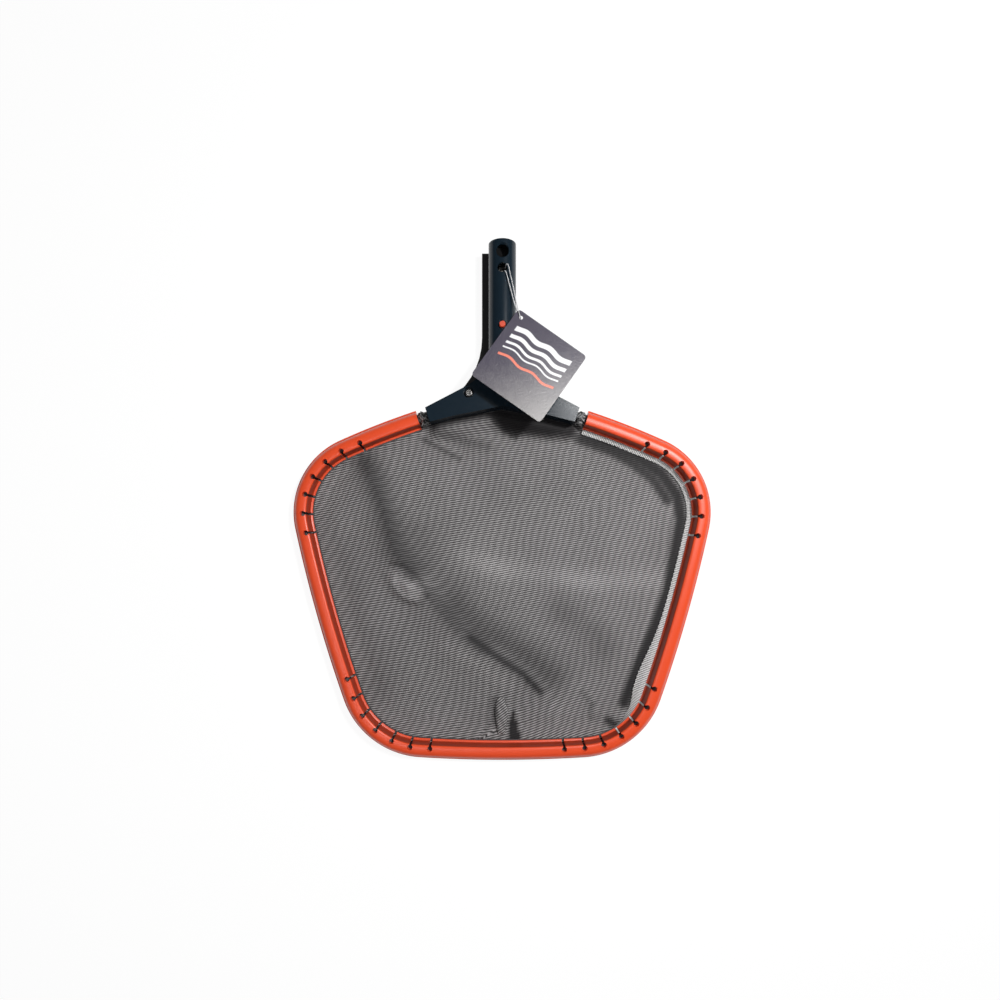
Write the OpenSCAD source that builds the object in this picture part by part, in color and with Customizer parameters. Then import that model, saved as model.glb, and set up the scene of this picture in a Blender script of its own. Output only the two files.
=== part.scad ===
// Leaf skimmer head: a flat mesh net on a bent hoop, with a slotted edge guard clipped round the
// hoop, and a two-shell yoke whose tubular neck goes into a telescopic pole.
// Millimetres. +Z points up out of the mouth of the net, +Y towards the pole. The guard and the
// rear shell rest on z = 0, and the origin is below the middle of the overall box.

/* [Hoop] */
// Outside diameter of the hoop's tube
hoop_d = 9.5; // [8:0.5:10]
// Wall of the hoop's tube
hoop_wall = 1.3; // [1:0.1:2]
// Bend radius of the bowed lower edge
lower_bow_r = 1398.5; // [1000:0.5:1800]
// Turn of half the lower edge, in degrees
lower_bow_turn = 3.6; // [3:0.1:4.2]
// Bend radius of the lower corners
lower_corner_r = 80.5; // [70:0.5:90]
// Turn of the lower corners, in degrees
lower_corner_turn = 67; // [65:0.5:69]
// Bend radius of the leaning sides
side_bow_r = 1528.5; // [1300:0.5:1700]
// Turn of the leaning sides, in degrees
side_bow_turn = 7.1; // [6.5:0.1:7.6]
// Bend radius of the shoulders
shoulder_r = 72.5; // [66:0.5:79]
// Turn of the shoulders, in degrees
shoulder_turn = 78; // [77:0.5:79]
// Bend radius of the top run into the yoke
top_bow_r = 828.5; // [700:0.5:1000]

/* [Edge guard] */
// Distance from the hoop's axis out to the scraping edge
guard_reach = 12; // [11:0.5:14]
// Height of the guard's crown above the hoop's axis
guard_crown = 10.65; // [9:0.05:12]
// Thickness of the guard's wall under the net
guard_floor = 2.2; // [1.6:0.2:3]
// Height of the slot that lets the net out
net_slot = 2.2; // [1.8:0.2:2.6]
// Width of the scraping flange along the guard's outer edge
flange_w = 2.3; // [1.6:0.1:3]
// Height of the scraping flange
flange_h = 2.8; // [2:0.1:4]
// Width of the inner lip
lip_w = 2.5; // [2:0.1:3.4]
// Thickness of the inner lip
lip_t = 1.4; // [1.2:0.1:2.2]
// Width of the relief slits
slit_w = 1.3; // [0.8:0.1:1.8]
// Diameter of the round hole at each slit's end
keyhole_d = 3.4; // [2.4:0.2:4]
// Distance between neighbouring slits, measured along the hoop
slit_pitch = 21.3; // [19:0.1:22]
// Number of slits at each corner
slits_per_corner = 7; // [3:1:7]

/* [Net] */
// Thickness of the sleeve of mesh round the hoop
sleeve_t = 0.6; // [0.4:0.1:1]
// Thickness of the net's cloth, with its slack
net_t = 0.8; // [0.5:0.1:1]
// Width of the hem that joins the net to the sleeve
hem_w = 4.6; // [3:0.2:6]
// Thickness of the hem
hem_t = 1; // [0.6:0.1:1.4]
// Height of the net's underside above the ground at its middle
net_clear = 0.5; // [0.3:0.1:1]

/* [Yoke] */
// Distance from the middle to each arm's end
arm_end_x = 78; // [75:1:82]
// Width of each arm at its end
arm_end_w = 15.5; // [15:0.5:17]
// Slope of the arms' upper edges, in degrees
arm_slope = 27.5; // [25:0.5:29]
// Height of the yoke's front face above the ground
yoke_h = 26; // [24:0.5:28]
// Radius of the blend between arms and neck
blend_r = 45; // [35:1:50]
// Distance that the hoop reaches into each arm
hoop_in_arm = 38; // [34:1:40]
// Distance between each arm screw and the middle
arm_screw_x = 34.7; // [33:0.1:36]
// Diameter of the arm screws' shanks
arm_screw_d = 4.8; // [4:0.2:5]
// Diameter of the arm screws' pan heads
arm_head_d = 8.4; // [7.8:0.2:9]
// Distance between each rear screw and the middle
rear_screw_x = 20; // [18:0.5:24]

/* [Neck] */
// Outside diameter of the neck
neck_d = 28.6; // [28:0.1:28.8]
// Wall of the neck
neck_wall = 3; // [2.4:0.1:3.4]
// Length of the neck from where the arms' axes meet to its end
neck_len = 149.9; // [140:0.1:175]
// Height of the neck's axis above the ground
neck_z = 22; // [21.5:0.1:23]
// Distance from the neck's end to the hang hole
hang_hole_y = 11.7; // [10.5:0.1:13]
// Diameter of the hang hole
hang_hole_d = 13; // [11:0.1:13.4]
// Distance from the neck's end to the screwdriver hole
driver_hole_y = 29.5; // [27:0.1:33]
// Diameter of the screwdriver hole
driver_hole_d = 10.2; // [9:0.1:11]
// Distance from the neck's end to the snap button
button_y = 87.8; // [82:0.1:96]

/* [Snap button] */
// Diameter of the snap button
button_d = 6.4; // [6:0.1:7]
// Height that the button stands out of the neck
button_proud = 2.3; // [1.8:0.1:2.6]
// Travel of the button
button_travel = 4.2; // [3.4:0.1:4.4]
// Thickness of the leaf spring
spring_t = 0.8; // [0.6:0.1:1]
// Width of the leaf spring
spring_w = 7; // [6:0.5:8]

/* [Rear spine] */
// Thickness of the spine behind the neck
spine_t = 5; // [4:0.1:5.6]
// Reach of the spine to the left of the neck's axis
spine_left = 21.5; // [18:0.5:24]
// Reach of the spine to the right of the neck's axis
spine_right = 14.5; // [12:0.5:16]
// Radius of the blend between spine and rear arms
spine_blend_r = 80; // [60:1:90]

/* [Hang tag] */
// Length of the card along its hole's side
tag_len = 84.5; // [70:0.5:92]
// Width of the card
tag_w = 84.3; // [70:0.1:92]
// Thickness of the card
tag_t = 0.6; // [0.4:0.1:1]
// Turn of the card against the neck, in degrees
tag_turn = 35; // [31:0.5:38]
// Lift of the card's free side, in degrees
tag_lift = 5; // [2:0.5:8]
// Diameter of the card's hole
tag_hole_d = 4; // [3.4:0.1:5]

/* [Hidden] */

fit_gap = 0.1;        // clearance between still pieces
cut = 1;              // how far a cut runs past the face it opens
hoop_r = hoop_d / 2;
neck_r = neck_d / 2;
bore_r = neck_r - neck_wall;

// The hoop's right half is five arcs that meet in line, from the middle of the lower edge up to
// the end of the guard, and then a straight end in the yoke's arm. The left half mirrors it.
arc_r = [lower_bow_r, lower_corner_r, side_bow_r, shoulder_r, top_bow_r];
arc_turn = [lower_bow_turn, lower_corner_turn, side_bow_turn, shoulder_turn];
top = len(arc_turn);  // index of the last arc, which ends where a piece needs it

function heading(i) = i == 0 ? 0 : heading(i - 1) + arc_turn[i - 1];
function from_centre(r, h) = [r * sin(h), -r * cos(h)];
function start_of(i) = i == 0 ? [0, 0]
    : centre_of(i - 1) + from_centre(arc_r[i - 1], heading(i));
function centre_of(i) = start_of(i) - from_centre(arc_r[i], heading(i));
function run(i) = i == 0 ? 0 : run(i - 1) + arc_r[i - 1] * arc_turn[i - 1] * PI / 180;

centres = [for (i = [0:top]) centre_of(i)];
headings = [for (i = [0:top]) heading(i)];
runs = [for (i = [0:top]) run(i)];

// The arc that holds a distance along the hoop, and the heading there
function arc_at(s, i = top) = i == 0 || s >= runs[i] ? i : arc_at(s, i - 1);
function heading_at(s) = let (i = arc_at(s)) headings[i] + (s - runs[i]) / arc_r[i] * 180 / PI;
// A point at a distance along the hoop, moved out from its axis by out
function hoop_point(s, out = 0) = let (i = arc_at(s))
    centres[i] + from_centre(arc_r[i] + out, heading_at(s));
sleeve_gap = 11;                  // the sleeve shows between the guard and the arm
guard_end_x = arm_end_x + sleeve_gap;
arm_dir = 180 - asin((guard_end_x - centres[top][0]) / arc_r[top]);
arm_start = centres[top] + from_centre(arc_r[top], arm_dir);
// A point on the straight end, found by its distance from the middle
function arm_run(x) = (guard_end_x - x) / -cos(arm_dir);
function arm_point(x, out = 0) = arm_start + arm_run(x) * [cos(arm_dir), sin(arm_dir)]
    + from_centre(out, arm_dir);

// Section of the guard: heights stack up from the ground
sleeve_in_r = hoop_r + fit_gap;
sleeve_r = sleeve_in_r + sleeve_t;
channel_r = sleeve_r + 0.15;
hoop_z = guard_floor + net_slot - 0.6 + channel_r;
slot_z = guard_floor + net_slot;
wall_s = -channel_r - 1.6;        // inner wall's face, inboard of the hoop's axis
lip_s = wall_s - lip_w;
crown_s = -1.9;                   // ridge of the guard
crown_z = hoop_z + guard_crown;

// Yoke outline, from the arm ends' corners
split_z = hoop_z;
socket_r = hoop_r + fit_gap;
arm_shift = -1.5;                 // the arm's middle line lies this far inside the hoop's axis
arm_low = arm_point(arm_end_x, arm_shift - arm_end_w / 2);
arm_high = arm_point(arm_end_x, arm_shift + arm_end_w / 2);
knee_x = 48.8;
knee_rise = 6.7;
apex_x = 1.5;
apex_rise = 16;
lower_knee = [knee_x, arm_low[1] + knee_rise];
apex = [apex_x, arm_low[1] + apex_rise];
arm_screw_y = arm_point(arm_screw_x)[1] + 7.1;
rear_screw_y = arm_point(rear_screw_x)[1] - 5.4;
head_recess_r = arm_head_d / 2 + 1.4;
hoop_end_x = arm_end_x - hoop_in_arm;
pin_x = (arm_end_x + hoop_end_x) / 2 - 4;
pin_r = 2;

// Neck
neck_end = arm_point(0)[1] + neck_len;
nose_rise = 5.5;                  // where the neck's taper starts, above the arms' axes
nose_y = arm_point(0)[1] + nose_rise;
nose_len = 14;                    // length of the neck's tapered lower end
nose_drop = 8;                    // how far that end tapers in
bore_floor = 26;                  // solid stretch of the neck above its taper
bore_end = nose_y + bore_floor;
hang_y = neck_end - hang_hole_y;
driver_y = neck_end - driver_hole_y;
press_y = neck_end - button_y;
button_r = button_d / 2;
flange_r = button_r + 1.4;
flange_top = neck_z + sqrt(pow(bore_r, 2) - pow(flange_r, 2)) - 0.2;
flange_t = 1.4;
screw_r = 1.9;
neck_head_r = 3.6;
spring_tip = flange_top - flange_t - 0.3;
spring_bend = 3.9;                // rise that the spring keeps when the button is pressed home
// Top of the plug's pad, where the spring is clamped
pad_z = spring_tip - spring_t - button_travel - spring_bend;
countersink = 2.2;                // depth of the hang hole's countersink

// Card and its loop
loop_d = 1;
loop_sides = 8;
tag_x = 16.5;                     // the card's upper corner, from the neck's axis and its end
tag_drop = 72.5;
tag_corner = [tag_x, neck_end - tag_drop, neck_z + neck_r + 0.5];
tag_hole_in = [7.2, 6.1];

low_y = hoop_point(0, guard_reach)[1];
mid_y = (neck_end + low_y) / 2;

chord_gap = 0.18;     // how far a sweep's flats may cut inside its true arc
top_turn = arm_dir - headings[top];
function turn(i) = i < top ? arc_turn[i] : top_turn;
function arc_steps(i) = ceil(turn(i) / (2 * acos(1 - chord_gap / arc_r[i])));

// Stations along the hoop's right half, each an x, a y and a heading
function half_stations(end_x) = concat(
    [for (i = [0:top]) for (k = [0:arc_steps(i) - 1]) let (h = headings[i] + turn(i) * k / arc_steps(i))
        concat(centres[i] + from_centre(arc_r[i], h), [h])],
    [concat(arm_start, [arm_dir])],
    end_x < guard_end_x ? [concat(arm_point(end_x), [arm_dir])] : []);
// The same round the whole hoop, from its left end to its right end
function stations(end_x) = let (half = half_stations(end_x))
    concat([for (i = [len(half) - 1:-1:1]) [-half[i][0], half[i][1], -half[i][2]]], half);

// Triangles between two rows of points, of ni and nj steps, that run side by side
function zip(i, j, ni, nj, na, nb) = i == ni && j == nj ? []
    : j == nj || (i < ni && (i + 1) * nj <= (j + 1) * ni)
        ? concat([[i, (i + 1) % na, na + j % nb]], zip(i + 1, j, ni, nj, na, nb))
        : concat([[i % na, na + (j + 1) % nb, na + j % nb]], zip(i, j + 1, ni, nj, na, nb));

// Sweeps a wall round the hoop. Its outer and inner faces are rows of points, each a distance out
// from the hoop's axis and a height.
module band(end_x, outer, inner, closed = false) {
    places = stations(end_x);
    na = len(outer);
    nb = len(inner);
    m = na + nb;
    ends = closed ? 0 : 1;
    edges = concat([for (i = [0:na - 1 - ends]) [i, (i + 1) % na]],
        [for (j = [0:nb - 1 - ends]) [na + (j + 1) % nb, na + j]],
        closed ? [] : [[na - 1, m - 1], [na, 0]]);
    cap = zip(0, 0, na - ends, nb - ends, na, nb);
    last = (len(places) - 1) * m;
    polyhedron(
        [for (t = places) for (q = concat(outer, inner))
            concat([t[0], t[1]] + from_centre(q[0], t[2]), [q[1]])],
        concat(
            [for (j = [0:m:last - m]) for (e = edges) for (f = [
                [j + e[0], j + e[1], j + e[1] + m], [j + e[0], j + e[1] + m, j + e[0] + m]]) f],
            [for (f = cap) [f[0], f[2], f[1]]],
            [for (f = cap) [for (v = f) v + last]]),
        convexity = 8);
}

tube_sides = 12;
function round_row(r) = [for (k = [0:tube_sides - 1]) let (a = 360 * k / tube_sides)
    [r * cos(a), hoop_z + r * sin(a)]];

// A straight bore along the hoop's end, between two distances from the middle
module arm_bore(from_x, to_x, r) {
    p = arm_point(from_x);
    translate([p[0], p[1], hoop_z])
        rotate([90, 0, arm_dir + 90])
            cylinder(h = arm_run(to_x) - arm_run(from_x), r = r, $fn = 48);
}

// Moves the drafting frame, whose origin is the hoop's lowest point, to the part's own origin
module placed() {
    translate([0, -mid_y, 0])
        children();
}

module both_sides() {
    for (side = [0, 1])
        mirror([side, 0, 0])
            children();
}

// ---- hoop ----

module hoop_tube() {
    color("silver") placed()
        difference() {
            band(hoop_end_x, round_row(hoop_r), round_row(hoop_r - hoop_wall), closed = true);
            both_sides()
                pin_shape(pin_r + fit_gap, cut);
        }
}

module pin_shape(r, more = 0) {
    p = arm_point(pin_x);
    translate([p[0], p[1], 3 - more])
        cylinder(h = 2 * (hoop_z - 3) + 2 * more, r = r, $fn = 32);
}

module hoop_pin_right() {
    color("darkgray") placed()
        pin_shape(pin_r);
}

module hoop_pin_left() {
    mirror([1, 0, 0])
        hoop_pin_right();
}

// ---- edge guard ----

// The guard's wall, from the lower side of the net's slot round the channel to the lip
guard_outer = concat(
    [[wall_s + 0.6, 0], [0, 0], [guard_reach - 1.5, 0], [guard_reach, 1], [guard_reach, flange_h],
        [guard_reach - flange_w, flange_h + 1.2]],
    [for (t = [0:18:90]) let (w = guard_reach - flange_w - 1.2 - crown_s)
        [crown_s + w * pow(cos(t), 0.8), flange_h + 2.4 + (crown_z - flange_h - 2.4) * sin(t)]],
    [[wall_s + 1.2, crown_z - 0.6], [wall_s + 0.2, crown_z - 1.5],
        [wall_s - 0.2, slot_z + lip_t + 1.2], [wall_s - 0.8, slot_z + lip_t + 0.2],
        [lip_s + 0.4, slot_z + lip_t], [lip_s, slot_z + lip_t - 0.4]]);
guard_inner = concat(
    [[wall_s + 0.6, guard_floor], [0, guard_floor]],
    [for (a = [-90:360 / tube_sides:240]) [channel_r * cos(a), hoop_z + channel_r * sin(a)]],
    [[lip_s, slot_z]]);

keyhole_s = crown_s - 1.4;
lower_mid = runs[1] + 0.58 * arc_r[1];   // middle of the lower corner's slits, along the hoop
shoulder_mid = runs[3] + arc_r[3] * arc_turn[3] * PI / 360 + 4.8;
// The guard has slid a little to the left round the hoop, by less at the shoulders
slit_corners = [[lower_mid, 5.4], [shoulder_mid, 1.5]];

module slit(s) {
    p = hoop_point(s);
    translate([p[0], p[1], 0])
        rotate([0, 0, heading_at(s) - 90]) {
            translate([lip_s - cut, -slit_w / 2, slot_z - 0.01])
                cube([keyhole_s - lip_s + cut, slit_w, crown_z]);
            translate([keyhole_s, 0, hoop_z])
                cylinder(h = crown_z, d = keyhole_d, $fn = 24);
        }
}

module edge_guard() {
    color("orangered") placed()
        difference() {
            band(guard_end_x, guard_outer, guard_inner);
            for (side = [0, 1])
                mirror([side, 0, 0])
                    for (corner = slit_corners)
                        for (i = [0:slits_per_corner - 1])
                            slit(corner[0] + (2 * side - 1) * corner[1]
                                + (i - (slits_per_corner - 1) / 2) * slit_pitch);
        }
}

// ---- net ----

module net_sleeve() {
    color("dimgray") placed()
        band(arm_end_x + fit_gap, round_row(sleeve_r), round_row(sleeve_in_r), closed = true);
}

// The net's outline: round the hoop under the guard's lip, then along the yoke's lower edge
net_out = -2.4;
edge_z_net = guard_floor + 0.5;
tuck = 2;                // how far the net's upper edge goes in between the shells
tuck_z = split_z - net_t - 0.1;
net_turn = arm_low + [3, -1.5];   // where the net's edge has climbed to the shells, before the arm
function yoke_edge(f) = f < 0.5 ? arm_low + (lower_knee - arm_low) * 2 * f
    : lower_knee + (apex - lower_knee) * (2 * f - 1);
// Each outline point holds x, y and its height
half_outline = concat(
    [for (t = half_stations(guard_end_x))
        concat([t[0], t[1]] + from_centre(net_out, t[2]), [edge_z_net])],
    [concat(net_turn, [tuck_z])],
    [for (f = [0.12:0.22:0.9]) let (p = yoke_edge(f)) [p[0], p[1] + tuck, tuck_z]],
    [[0, apex[1] + tuck, tuck_z]]);
outline_n = len(half_outline);
outline = concat(half_outline,
    [for (i = [outline_n - 2:-1:1]) [-half_outline[i][0], half_outline[i][1], half_outline[i][2]]]);
net_n = len(outline);
net_mid = [0, (start_of(3)[1] + low_y) / 2 + 20];
// Rings of the net: share of the way out from its middle, and share of the edge's height
net_rings = [[1, 1], [0.905, 0.95], [0.82, 0.35], [0.6, 0.1], [0.3, 0]];
ring_n = len(net_rings);

function net_point(k, i, up) = let (p = outline[i], g = net_rings[k])
    [net_mid[0] + (p[0] - net_mid[0]) * g[0], net_mid[1] + (p[1] - net_mid[1]) * g[0],
        net_clear + (p[2] - net_clear) * g[1] + up];
net_points = concat(
    [for (up = [net_t, 0]) for (k = [0:ring_n - 1]) for (i = [0:net_n - 1]) net_point(k, i, up)],
    [[net_mid[0], net_mid[1], net_clear + net_t], [net_mid[0], net_mid[1], net_clear]]);
under = ring_n * net_n;  // index of the first point of the underside
function at(k, i) = k * net_n + i % net_n;
net_faces = concat(
    [for (k = [0:ring_n - 2]) for (i = [0:net_n - 1]) for (f = [
        [at(k, i), at(k + 1, i), at(k + 1, i + 1)], [at(k, i), at(k + 1, i + 1), at(k, i + 1)]]) f],
    [for (k = [0:ring_n - 2]) for (i = [0:net_n - 1]) for (f = [
        [at(k, i), at(k + 1, i + 1), at(k + 1, i)], [at(k, i), at(k, i + 1), at(k + 1, i + 1)]])
        [for (v = f) v + under]],
    [for (i = [0:net_n - 1]) [at(ring_n - 1, i), 2 * under, at(ring_n - 1, i + 1)]],
    [for (i = [0:net_n - 1]) [at(ring_n - 1, i + 1) + under, 2 * under + 1,
        at(ring_n - 1, i) + under]],
    [for (i = [0:net_n - 1]) for (f = [[at(0, i), at(0, i + 1), at(0, i + 1) + under],
        [at(0, i), at(0, i + 1) + under, at(0, i) + under]]) f]);

module net_bag() {
    color("gray") placed()
        polyhedron(net_points, net_faces, convexity = 4);
}

hem_s = lip_s - 0.3 - hem_w;
hem_z = edge_z_net + net_t + 0.1;

module net_hem() {
    color("gainsboro") placed()
        band(guard_end_x, [[hem_s, hem_z], [hem_s + hem_w, hem_z]],
            [[hem_s, hem_z + hem_t], [hem_s + hem_w, hem_z + hem_t]]);
}

// ---- yoke ----

// Outline of one side of a shell: a blend arc runs from the arm's upper edge to the neck or spine
function shell_half(edge_x, r, end_y = 0) = let (
    half = (90 + arm_slope) / 2,
    corner = [edge_x, arm_high[1] + (arm_high[0] - edge_x) * tan(arm_slope)],
    c = [edge_x + r, corner[1] + r / tan(half)])
    concat([[0, apex[1]], apex, lower_knee, arm_low, arm_high],
        [for (k = [0:8]) let (a = 270 - arm_slope - k * (90 - arm_slope) / 8)
            c + r * [cos(a), sin(a)]],
        [[edge_x, max(end_y, c[1] + 0.01)], [0, max(end_y, c[1] + 0.01)]]);

module neck_rod(r, from_y, to_y) {
    translate([0, from_y, neck_z])
        rotate([-90, 0, 0])
            cylinder(h = to_y - from_y, r = r, $fn = 96);
}

// The neck's lower end tapers into the yoke's face
module neck_nose(more) {
    translate([0, nose_y + 0.01, neck_z])
        rotate([90, 0, 0])
            cylinder(h = nose_len + more, r1 = neck_r + more, r2 = neck_r - nose_drop, $fn = 96);
}

module hoop_socket() {
    both_sides()
        arm_bore(arm_end_x + 3, hoop_end_x - 0.5, socket_r);
}

module screw_hole(p, r, from_z, to_z) {
    translate([p[0], p[1], from_z])
        cylinder(h = to_z - from_z, r = r, $fn = 40);
}

arm_screw = [arm_screw_x, arm_screw_y];
rear_screw = [rear_screw_x, rear_screw_y];
head_seat_z = yoke_h - 3.4;
nut_z = 2.2;
nut_t = 4;
nut_w = 8;

module yoke_front() {
    color("darkslategray") placed()
        difference() {
            union() {
                both_sides()
                    translate([0, 0, split_z])
                        linear_extrude(yoke_h - split_z)
                            polygon(shell_half(neck_r - 1.5, blend_r));
                neck_rod(neck_r, nose_y, neck_end);
                neck_nose(0);
            }
            neck_rod(bore_r, bore_end, neck_end + cut);
            hoop_socket();
            both_sides() {
                pin_shape(pin_r + fit_gap, fit_gap);
                screw_hole(arm_screw, arm_screw_d / 2 + fit_gap, 0, yoke_h);
                screw_hole(arm_screw, head_recess_r, head_seat_z, yoke_h + cut);
                screw_hole(rear_screw, 1.75 + fit_gap, 0, split_z + 8);
            }
            // hang hole with its countersink, and the screwdriver hole above the neck screw
            screw_hole([0, hang_y], hang_hole_d / 2, neck_z, neck_z + neck_d);
            translate([0, hang_y, neck_z + neck_r - countersink])
                cylinder(h = countersink + cut, r1 = hang_hole_d / 2, r2 = hang_hole_d / 2 + 2, $fn = 64);
            screw_hole([0, driver_y], driver_hole_d / 2, neck_z, neck_z + neck_d);
            // the neck screw's thread in the far wall
            screw_hole([0, driver_y], screw_r + fit_gap / 2, neck_z - neck_r - cut, neck_z);
            // button hole and its sunken seat
            screw_hole([0, press_y], button_r + fit_gap, neck_z, neck_z + neck_d);
            screw_hole([0, press_y], button_r + 1.2, neck_z + neck_r - 1.3, neck_z + neck_d);
        }
}

module yoke_rear() {
    color([0.07, 0.07, 0.08]) placed()
        difference() {
            union() {
                both_sides()
                    linear_extrude(split_z)
                        polygon(shell_half(neck_r - 1.5, blend_r));
                linear_extrude(spine_t) {
                    mirror([1, 0, 0])
                        polygon(shell_half(spine_left, spine_blend_r, neck_end - 0.5));
                    polygon(shell_half(spine_right, spine_blend_r, neck_end - 0.5));
                }
            }
            neck_rod(neck_r + fit_gap, nose_y, neck_end + cut);
            neck_nose(fit_gap);
            hoop_socket();
            net_tuck();
            both_sides() {
                pin_shape(pin_r + fit_gap, fit_gap);
                screw_hole(arm_screw, arm_screw_d / 2 + fit_gap, 0, yoke_h);
                translate([arm_screw[0], arm_screw[1], -cut])
                    cylinder(h = nut_z + nut_t + cut, d = (nut_w + 0.4) / cos(30), $fn = 6);
                screw_hole(rear_screw, 1.75 + fit_gap, -cut, yoke_h);
                screw_hole(rear_screw, 4, -cut, 3.2);
            }
        }
}

// Shelf in the rear shell that takes the net's upper edge
module net_tuck() {
    both_sides()
        translate([0, 0, tuck_z - 0.2])
            linear_extrude(net_t + 0.3 + cut)
                polygon([[0, apex[1] - 2], apex - [0, 2], lower_knee - [0, 2], arm_low + [3, -2],
                    arm_low + [3, tuck + 1], lower_knee + [0, tuck + 1], apex + [0, tuck + 1],
                    [0, apex[1] + tuck + 1]]);
}

module cross_recess(z, depth) {
    for (a = [45, 135])
        rotate([0, 0, a])
            translate([-2.2, -0.5, z - depth])
                cube([4.4, 1, depth + cut]);
}

module arm_screw_right() {
    color("gainsboro") placed()
        translate([arm_screw[0], arm_screw[1], 0])
            difference() {
                union() {
                    translate([0, 0, 1])
                        cylinder(h = head_seat_z - 1, d = arm_screw_d, $fn = 40);
                    translate([0, 0, head_seat_z])
                        cylinder(h = 1.8, d = arm_head_d, $fn = 48);
                    translate([0, 0, head_seat_z + 1.8])
                        cylinder(h = 1, d1 = arm_head_d, d2 = arm_head_d - 2.6, $fn = 48);
                }
                cross_recess(head_seat_z + 2.8, 1.6);
            }
}

module arm_screw_left() {
    mirror([1, 0, 0])
        arm_screw_right();
}

module arm_nut_right() {
    color("silver") placed()
        translate([arm_screw[0], arm_screw[1], nut_z])
            difference() {
                cylinder(h = nut_t, d = nut_w / cos(30), $fn = 6);
                translate([0, 0, -cut])
                    cylinder(h = nut_t + 2 * cut, d = arm_screw_d + fit_gap, $fn = 40);
            }
}

module arm_nut_left() {
    mirror([1, 0, 0])
        arm_nut_right();
}

module rear_screws() {
    color("gray") placed()
        both_sides()
            translate([rear_screw[0], rear_screw[1], 0])
                difference() {
                    union() {
                        translate([0, 0, 3.2])
                            cylinder(h = split_z + 4, r = 1.75, $fn = 32);
                        translate([0, 0, 0.6])
                            cylinder(h = 2.6, r = 3.5, $fn = 40);
                    }
                    translate([0, 0, 0.6])
                        mirror([0, 0, 1])
                            cross_recess(0, 1.4);
                }
}

// ---- neck ----

// Plug in the neck's open end: a cap, crossed ribs below the hang hole and a pad for the screw
module neck_plug() {
    plug_r = bore_r - fit_gap;
    color("black") placed()
        difference() {
            union() {
                neck_rod(plug_r, neck_end - 3, neck_end);
                intersection() {
                    neck_rod(plug_r, driver_y - 8, neck_end - 2);
                    for (a = [45, -45])
                        translate([0, hang_y, neck_z])
                            rotate([0, a, 0])
                                cube([2, 2 * neck_len, neck_d], center = true);
                    translate([-neck_r, driver_y + 7, 0])
                        cube([neck_d, neck_len, 2 * neck_z]);
                }
                intersection() {
                    neck_rod(plug_r, driver_y - 8, driver_y + 8);
                    translate([-neck_r, 0, 0])
                        cube([neck_d, neck_end, pad_z]);
                }
            }
            screw_hole([0, driver_y], screw_r + fit_gap, 0, neck_z + neck_d);
        }
}

module neck_screw() {
    color("silver") placed()
        translate([0, driver_y, 0])
            difference() {
                union() {
                    translate([0, 0, neck_z - neck_r + 0.4])
                        cylinder(h = pad_z + spring_t - neck_z + neck_r - 0.4, r = screw_r, $fn = 32);
                    translate([0, 0, pad_z + spring_t])
                        cylinder(h = 1.6, r = neck_head_r, $fn = 48);
                    translate([0, 0, pad_z + spring_t + 1.6])
                        cylinder(h = 0.8, r1 = neck_head_r, r2 = neck_head_r - 1.2, $fn = 48);
                }
                cross_recess(pad_z + spring_t + 2.4, 1.4);
            }
}

// Leaf spring: clamped flat under the neck screw, then rising to the underside of the button
module button_spring() {
    run_y = driver_y - 6;
    toe_y = press_y + flange_r;
    color("lightgray") placed()
        difference() {
            translate([-spring_w / 2, 0, 0])
                rotate([90, 0, 90])
                    linear_extrude(spring_w)
                        polygon([[driver_y + 6, pad_z], [driver_y + 6, pad_z + spring_t],
                            [run_y, pad_z + spring_t], [toe_y, spring_tip],
                            [press_y - flange_r, spring_tip],
                            [press_y - flange_r, spring_tip - spring_t],
                            [toe_y + 0.1, spring_tip - spring_t], [run_y - 0.1, pad_z]]);
            screw_hole([0, driver_y], screw_r + fit_gap, 0, neck_z + neck_d);
        }
}

module snap_button() {
    dome = 0.6;
    face_z = neck_z + neck_r + button_proud;
    color("coral") placed()
        translate([0, press_y, 0]) {
            translate([0, 0, flange_top - flange_t])
                cylinder(h = flange_t, r = flange_r, $fn = 48);
            translate([0, 0, flange_top - cut])
                cylinder(h = face_z - dome - flange_top + cut, r = button_r, $fn = 48);
            translate([0, 0, face_z - dome - 0.01])
                cylinder(h = dome, r1 = button_r, r2 = button_r - dome, $fn = 48);
        }
}

// ---- card and loop ----

module hang_tag() {
    corner_r = 4;
    color("dimgray") placed()
        translate(tag_corner)
            rotate([0, 0, -tag_turn])
                rotate([-tag_lift, 0, 0])
                    difference() {
                        union() {
                            translate([corner_r, -tag_w, 0])
                                cube([tag_len - 2 * corner_r, tag_w, tag_t]);
                            translate([0, -tag_w + corner_r, 0])
                                cube([tag_len, tag_w - 2 * corner_r, tag_t]);
                            for (x = [corner_r, tag_len - corner_r])
                                for (y = [-corner_r, corner_r - tag_w])
                                    translate([x, y, 0])
                                        cylinder(h = tag_t, r = corner_r, $fn = 32);
                        }
                        translate([tag_hole_in[0], -tag_hole_in[1], -cut])
                            cylinder(h = tag_t + 2 * cut, d = tag_hole_d, $fn = 32);
                    }
}

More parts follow.
